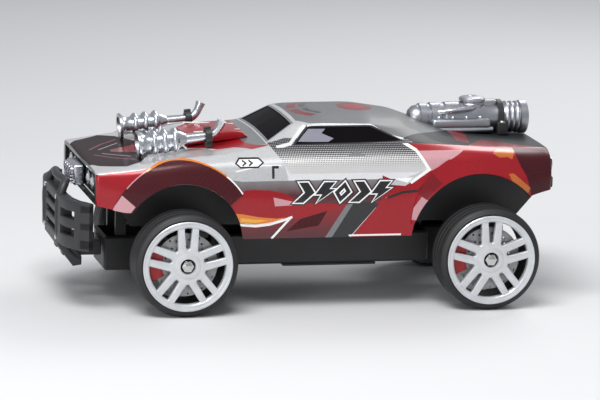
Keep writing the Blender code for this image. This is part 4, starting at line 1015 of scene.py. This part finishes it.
def make_hood_pipe(word, side):
    x, y, z = PIPE_FLANGE
    place = at(x, side * y, z) @ Matrix.Rotation(PIPE_TILT, 4, "Y")
    ribs = []
    for rib in range(3):
        ribs += bulge(-7.4 - rib * RIB_STEP, 2.4, 5.1, 7.1, 8)
    pipe = Piece("hood_pipe_" + word + "_turned")
    pipe.turn([*PIPE_MOUTH, *ribs, *PIPE_END], 64, CHROME, ALONG_X)
    path = [(-24, 0, 0), (-37, 0, 0), (-40.6, 0, 0.1), (-43, 0, 1.1), (-45, side * 0.6, 2.9),
            (-46.6, side * 1.1, 5.2), (-48.2, side * 1.6, 8)]
    pipe.add(tube(path, [3, 2.5, 2.4, 2.4, 2.4, 2.5, 3]), CHROME)
    pipe.turn(PIPE_BORE, 32, PAINTED_SHADE, ALONG_X)
    pipe.finish("chrome", "hood_pipe_" + word, place=place)
    clip = Piece("pipe_clamp_" + word)
    clip.turn(CLIP_RING, 40, BLACK, ALONG_X, moved(CLIP_X))
    clip.box(BLACK, (CLIP_X - 2.2, -2.4, -6.4), (CLIP_X + 2.2, 2.4, -3.4), 0.5)
    clip.box(BLACK, (CLIP_X - 2, -1.2, 3.6), (CLIP_X + 2, 1.2, 5.4), 0.5)
    clip.finish("black_plastic", "pipe_clip_" + word, place=place)


SCOOP_SIDE = [(44.2, 95), (48, 97.8), (56, 98.1), (73, 97.3), (79.6, 94.7), (79.6, 90.2), (62, 92.2),
              (50, 93.4)]


def make_scoop():
    """The raised hood scoop with its slats, and a dark block in its mouth as painted shade."""
    scoop = Piece("scoop_raised").add(plate([SCOOP_SIDE], -19, 19, 1.2, 4), PAINTS["red"], FACING_Y)
    scoop.box(PAINTED_SHADE, (77.6, -15, 91.2), (79.9, 15, 94.3), 0.6)
    for row in range(3):
        scoop.box(BLACK, (79, -15, 91.3 + row), (80, 15, 91.8 + row), 0.15, 1)
    for _, side in SIDES:
        line = stroke([(76, side * 16.5), (60, side * 14), (47.5, side * 9)], 1.4)
        scoop.add(plate([line], 97.3, 97.9, 0.15, 1), PAINTS["white"])
    scoop.finish("shell_paint", "hood_scoop")


def make_rear_engine():
    """Stepped collars, a broad case with its cap and side covers, then rings up to the open flange."""
    rings = []
    for middle in (-115.4, -118.6, -121.8):
        rings += bulge(middle, 1.4, 8.6, 9.5, 4)
    turned = [*ENGINE_NOSE, *ENGINE_CASE, *rings, *ENGINE_FLANGE]
    engine = Piece("rear_engine_turned").turn(turned, 72, SATIN, ALONG_X)
    engine.turn(ENGINE_BORE, 40, PAINTED_SHADE, ALONG_X)
    engine.turn(ENGINE_CAP, 56, SATIN, moved(-95))
    engine.box(SATIN, (-110, -3.6, 4), (-92, 3.6, 10.6), 1.6, 4)
    for _, side in SIDES:
        engine.box(SATIN, (-104, side * 5.5, -5.4), (-68, side * 12.9, 1), 2.2, 4)
        rail = [(-70, side * 11.4, -5.4), (-88, side * 12.2, -5.6), (-105, side * 11.4, -5.4)]
        engine.add(tube(rail, [1.5] * 3, 20), CHROME)
        for bolt in range(4):
            engine.turn(COVER_BOLT, 20, CHROME, moved(-98 + bolt * 8.4, side * 9.6, 0.9))
        pipe = [(-73, side * 7, 4.4), (-80, side * 9.6, 5.6), (-90, side * 9.2, 6.6), (-96, side * 6, 7.4)]
        engine.add(tube(pipe, [1.3] * 4, 20), CHROME)
    engine.finish("chrome", "rear_engine", place=at(0, 0, ENGINE_Z))
    strap = Piece("engine_strap")
    strap.turn(STRAP_RING, 56, BLACK, ALONG_X, moved(BRACKET_X))
    for _, side in SIDES:
        low, high = (BRACKET_X - 3, side * 8.8, BRACKET_FOOT), (BRACKET_X + 3, side * 13, -1.4)
        strap.box(BLACK, low, high, 0.6)
        strap.turn(STRAP_BOLT, 20, NUT_METAL, moved(BRACKET_X, side * 11.2, -1.6))
    strap.finish("black_plastic", "engine_bracket", place=at(0, 0, ENGINE_Z))


# ---------------- nose, bumper and tail

LAMP_RING = [(3.3, 0), (3.4, 1.6), (3.9, 1.8), (4.3, 1.4), (4.4, 0)]
LAMP_LENS = [(0, 2.9), (1.6, 2.6), (2.6, 2), (3.25, 1), (3.25, 0.2), (0, 0.2)]
STACK_RING = [(1.5, 0.2), (1.5, 1.8), (2, 2.1), (2.6, 1.7), (2.6, 0.2)]
STACK_BORE = [(0, 0.7), (1.45, 0.6), (1.45, 0.1), (0, 0.1)]
BUMPER_BOLT = [(0, 1.2), (1.2, 1.1), (1.6, 0.6), (1.6, -0.6), (0, -0.6)]
TAIL_LENS = [(0, -1.3), (1.8, -1.1), (3, -0.5), (3.1, 0.2), (0, 0.2)]
TAIL_RING = [(3.1, 0.2), (3.2, -0.9), (3.6, -0.9), (3.7, 0.2)]
WING = [(156.9, 24), (156.2, 33), (154.6, 41), (148.2, 53.4), (143.6, 56.9), (140.9, 55), (146.6, 45),
        (149, 36), (150, 24)]
WING_POSTS = ([(156.9, 24), (156.3, 32), (149.4, 32), (150, 24)],
              [(150.9, 48.4), (148.2, 53.4), (143.6, 56.9), (140.9, 55), (144.8, 48.4)])
SLOT_ROWS = (41.7, 49.2, 56.7)  # middles of the slots in the bumper


def make_grille():
    grille = Piece("grille_panel").box(PAINTED_SHADE, (136.3, -50.4, 66.5), (137.1, 50.4, 79.1), 0.25)
    for z in (66.5, 78.3):
        grille.box(BLACK, (136.6, -50.4, z), (138.6, 50.4, z + 0.8), 0.25)
    for row in range(4):
        z = 68.6 + row * 2.3
        for _, side in SIDES:
            for near, far in ((13.2, 15.2), (44.8, 50.2)):
                grille.box(BLACK, (136.8, side * near, z), (138.3, side * far, z + 1), 0.2)
    for _, side in SIDES:
        for y in (15.2, 44.8):
            grille.box(BLACK, (136.6, side * y - 0.5, 66.8), (138.6, side * y + 0.5, 79), 0.2)
    grille.finish("black_plastic", "front_grille")


def make_headlights():
    for word, side in SIDES:
        lamp = Piece("twin_lamps_" + word)
        lamp.box(PAINTED_SHADE, (136.4, side * 30 - 14, 69.1), (137.4, side * 30 + 14, 77.1), 0.3)
        for offset in (-7, 7):
            spot = moved(137.2, side * 30 + offset, 73.1)
            lamp.turn(LAMP_RING, 40, CHROME, ALONG_X, spot)
            lamp.turn(LAMP_LENS, 40, LAMP_CLEAR, ALONG_X, spot)
        lamp.finish("lamp_clear", "headlight_" + word)


def make_blower():
    engine = Piece("blower_front").box(CHROME, (139, -13, 66.5), (145.6, 13, 78.5), 1.4, 4)
    for row in range(4):
        spot = moved(145.4, -9.9 + row * 6.6, 75)
        engine.turn(STACK_RING, 32, CHROME, ALONG_X, spot)
        engine.turn(STACK_BORE, 24, PAINTED_SHADE, ALONG_X, spot)
    for step in range(3):
        z = 67.6 + step * 1.8
        engine.box(CHROME, (144.6, -11.6, z), (147.4, 11.6, z + 1), 0.35)
    engine.finish("chrome", "front_engine")


def bumper_wing(side):
    """One swept-back side of the bumper: three bands joined by two posts."""
    def mirrored(outline):
        return [[(x, y * side) for x, y in outline]]

    bands = [plate(mirrored(WING), *heights, 0.8, 3) for heights in ((36, 43.2), (47.8, 53.2), (57.8, 64))]
    return bands + [plate(mirrored(post), 37, 63, 0.6, 2) for post in WING_POSTS]


def add_bumper_side(bumper, side):
    """One side's wing, upright and bolts, and the arm that holds it."""
    upright = [(144, side * 22, 25), (150, side * 22.6, 30), (154.7, side * 23, 39), (155.5, side * 23, 50),
               (155.4, side * 22.8, 59), (153.4, side * 21.6, 66), (151.4, side * 18.5, 69.8),
               (151.6, side * 13, 70.9)]
    for shape in [*bumper_wing(side), tube(upright, [2.4] * 8)]:
        bumper.add(shape, GREY)
    for z in (38.2, 61.8):
        bumper.turn(BUMPER_BOLT, 24, NUT_METAL, ALONG_X, moved(156.3, side * 20.5, z))
    low, high = side * 12 - 4, side * 12 + 4
    bumper.box(GREY, (129.3, low, 26), (152, high, 34.6), 0.8)
    bumper.box(GREY, (144, low, 30), (152.8, high, 40), 0.8)


def make_bumper():
    bumper = Piece("bull_bar")
    face = [(-26, 37), (-25, 36), (25, 36), (26, 37), (26, 63), (25, 64), (-25, 64), (-26, 63)]
    slots = [[*arc(1.7, 90, 270, 6, (-16.3, z)), *arc(1.7, -90, 90, 6, (16.3, z))] for z in SLOT_ROWS]
    bumper.add(plate([face, *slots], 150, 156.5, 1, 4), GREY, FACING_X)
    bumper.box(PAINTED_SHADE, (150.2, -19, 39), (151.4, 19, 60), 0.3)
    for _, side in SIDES:
        add_bumper_side(bumper, side)
    top = [(151.6, -14, 70.9), (152.6, -7, 71), (153, 0, 71), (152.6, 7, 71), (151.6, 14, 70.9)]
    bumper.add(tube(top, [2.38] * 5), GREY)
    chin = [(142, 22), (147, 21.2), (156.2, 34), (156.2, 38.8), (150, 38.8), (142, 27)]
    bumper.add(plate([chin], -24, 24, 0.9, 3), GREY, FACING_Y)
    bumper.finish("grey_plastic", "front_bumper")


def make_tail():
    for word, side in SIDES:
        lamp = Piece("tail_lamp_" + word)
        lamp.box(PAINTED_SHADE, (-132.2, side * 26.2, 76.2), (-130.4, side * 45.8, 83.8), 0.5)
        for middle in (31, 41):
            spot = moved(-132, side * middle, 80)
            lamp.turn(TAIL_LENS, 36, LAMP_RED, ALONG_X, spot)
            lamp.turn(TAIL_RING, 36, CHROME, ALONG_X, spot)
        lamp.finish("lamp_red", "tail_light_" + word)
    bar = Piece("rear_bar").box(BLACK, (-133.9, -43.8, 66.1), (-130.4, 43.8, 72.9), 1.2, 4)
    for _, side in SIDES:
        for row in range(3):
            z = 67.4 + row * 1.6
            bar.box(GREY, (-134, side * 20, z), (-133.6, side * 38, z + 0.8), 0.15, 1)
    bar.finish("black_plastic", "rear_bumper")


# ---------------- finishes of the CAD nodes that stay in view

NODE_FINISHES = (
    (BLACK, ("tub", "arm", "knuckle", "gearbox", "mount", "housing", "motor", "servo")),
    (STEEL, ("axle", "shaft", "stub")),
    (NYLON, ("gear", "pinion", "rack", "servo_arm")),
    (GREY, ("cover", "power_switch")),
    (SHRINK_FILM, ("battery_pack",)),
    (SOLDER_MASK, ("circuit_board",)),
    (SCREEN, ("glass",)),
)


def dress_nodes():
    """Gives every CAD node that stays in view a procedural finish, by the words in its name."""
    for name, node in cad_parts.items():
        chosen = BLACK
        for finish, words in NODE_FINISHES:
            if any(word in name for word in words) and not name.endswith("gearbox"):
                chosen = finish
        if not node.material_slots:
            node.data.materials.append(chosen)
        for slot in node.material_slots:
            slot.material = chosen


# ---------------- camera, floor and lights

def stage_floor():
    made = Surface("floor_white", 0.75)
    made.done(made.mix(made.noise(3), (0.60, 0.605, 0.61), (0.63, 0.63, 0.635)))
    mesh = bpy.data.meshes.new("floor")
    mesh.from_pydata([(-6, -6, 0), (6, -6, 0), (6, 6, 0), (-6, 6, 0)], [], [(0, 1, 2, 3)])
    mesh.materials.append(made.material)
    floor = link("floor", mesh)


LIGHT_TARGET = Vector((0, 0, 0.06))
LIGHTS = (("key", (0.35, 0.55, 1.2), (0.8, 0.5), 17), ("side", (0.95, 0.95, 0.45), (0.35, 0.6), 4),
          ("back", (-0.7, -0.8, 0.9), (0.8, 0.5), 7))


def light_scene():
    world = bpy.data.worlds.new("studio")
    world.use_nodes = True
    background = world.node_tree.nodes["Background"].inputs
    background["Color"].default_value = (0.93, 0.95, 1, 1)
    background["Strength"].default_value = 0.45
    bpy.context.scene.world = world
    for name, where, size, power in LIGHTS:
        data = bpy.data.lights.new(name, "AREA")
        data.shape = "RECTANGLE"
        data.size, data.size_y = size
        data.energy = power
        light = link(name, data)
        light.location = where
        light.rotation_euler = (LIGHT_TARGET - Vector(where)).to_track_quat("-Z", "Y").to_euler()


CAMERA_PLACE = (0.5115, 2.1827, 0.4815)  # from mid-wheelbase
CAMERA_AIM = (0.008, 0, 0.053)
CAMERA_LENS = 232.0
CAMERA_ROLL = math.radians(1.4)  # the car sits a little tail-down in its tray


def place_camera():
    data = bpy.data.cameras.new("camera")
    data.lens = CAMERA_LENS
    data.sensor_width = 36.0
    data.clip_end = 50.0
    camera = link("camera", data)
    start, aim = SHIFT @ Vector(CAMERA_PLACE), SHIFT @ Vector(CAMERA_AIM)
    camera.location = start
    level = (aim - start).to_track_quat("-Z", "Y")
    camera.rotation_euler = (level @ Quaternion((0, 0, 1), CAMERA_ROLL)).to_euler()
    bpy.context.scene.camera = camera


bpy.context.scene.view_settings.view_transform = "Standard"
skin = half_skin()
make_shell(skin)
make_windows(skin)
make_arch_trims(skin)
skin.free()
make_wheels()
for word, side in SIDES:
    make_hood_pipe(word, side)
make_scoop()
make_rear_engine()
make_grille()
make_headlights()
make_blower()
make_bumper()
make_tail()
dress_nodes()

stage_floor()
light_scene()
place_camera()

bpy.context.view_layer.update()
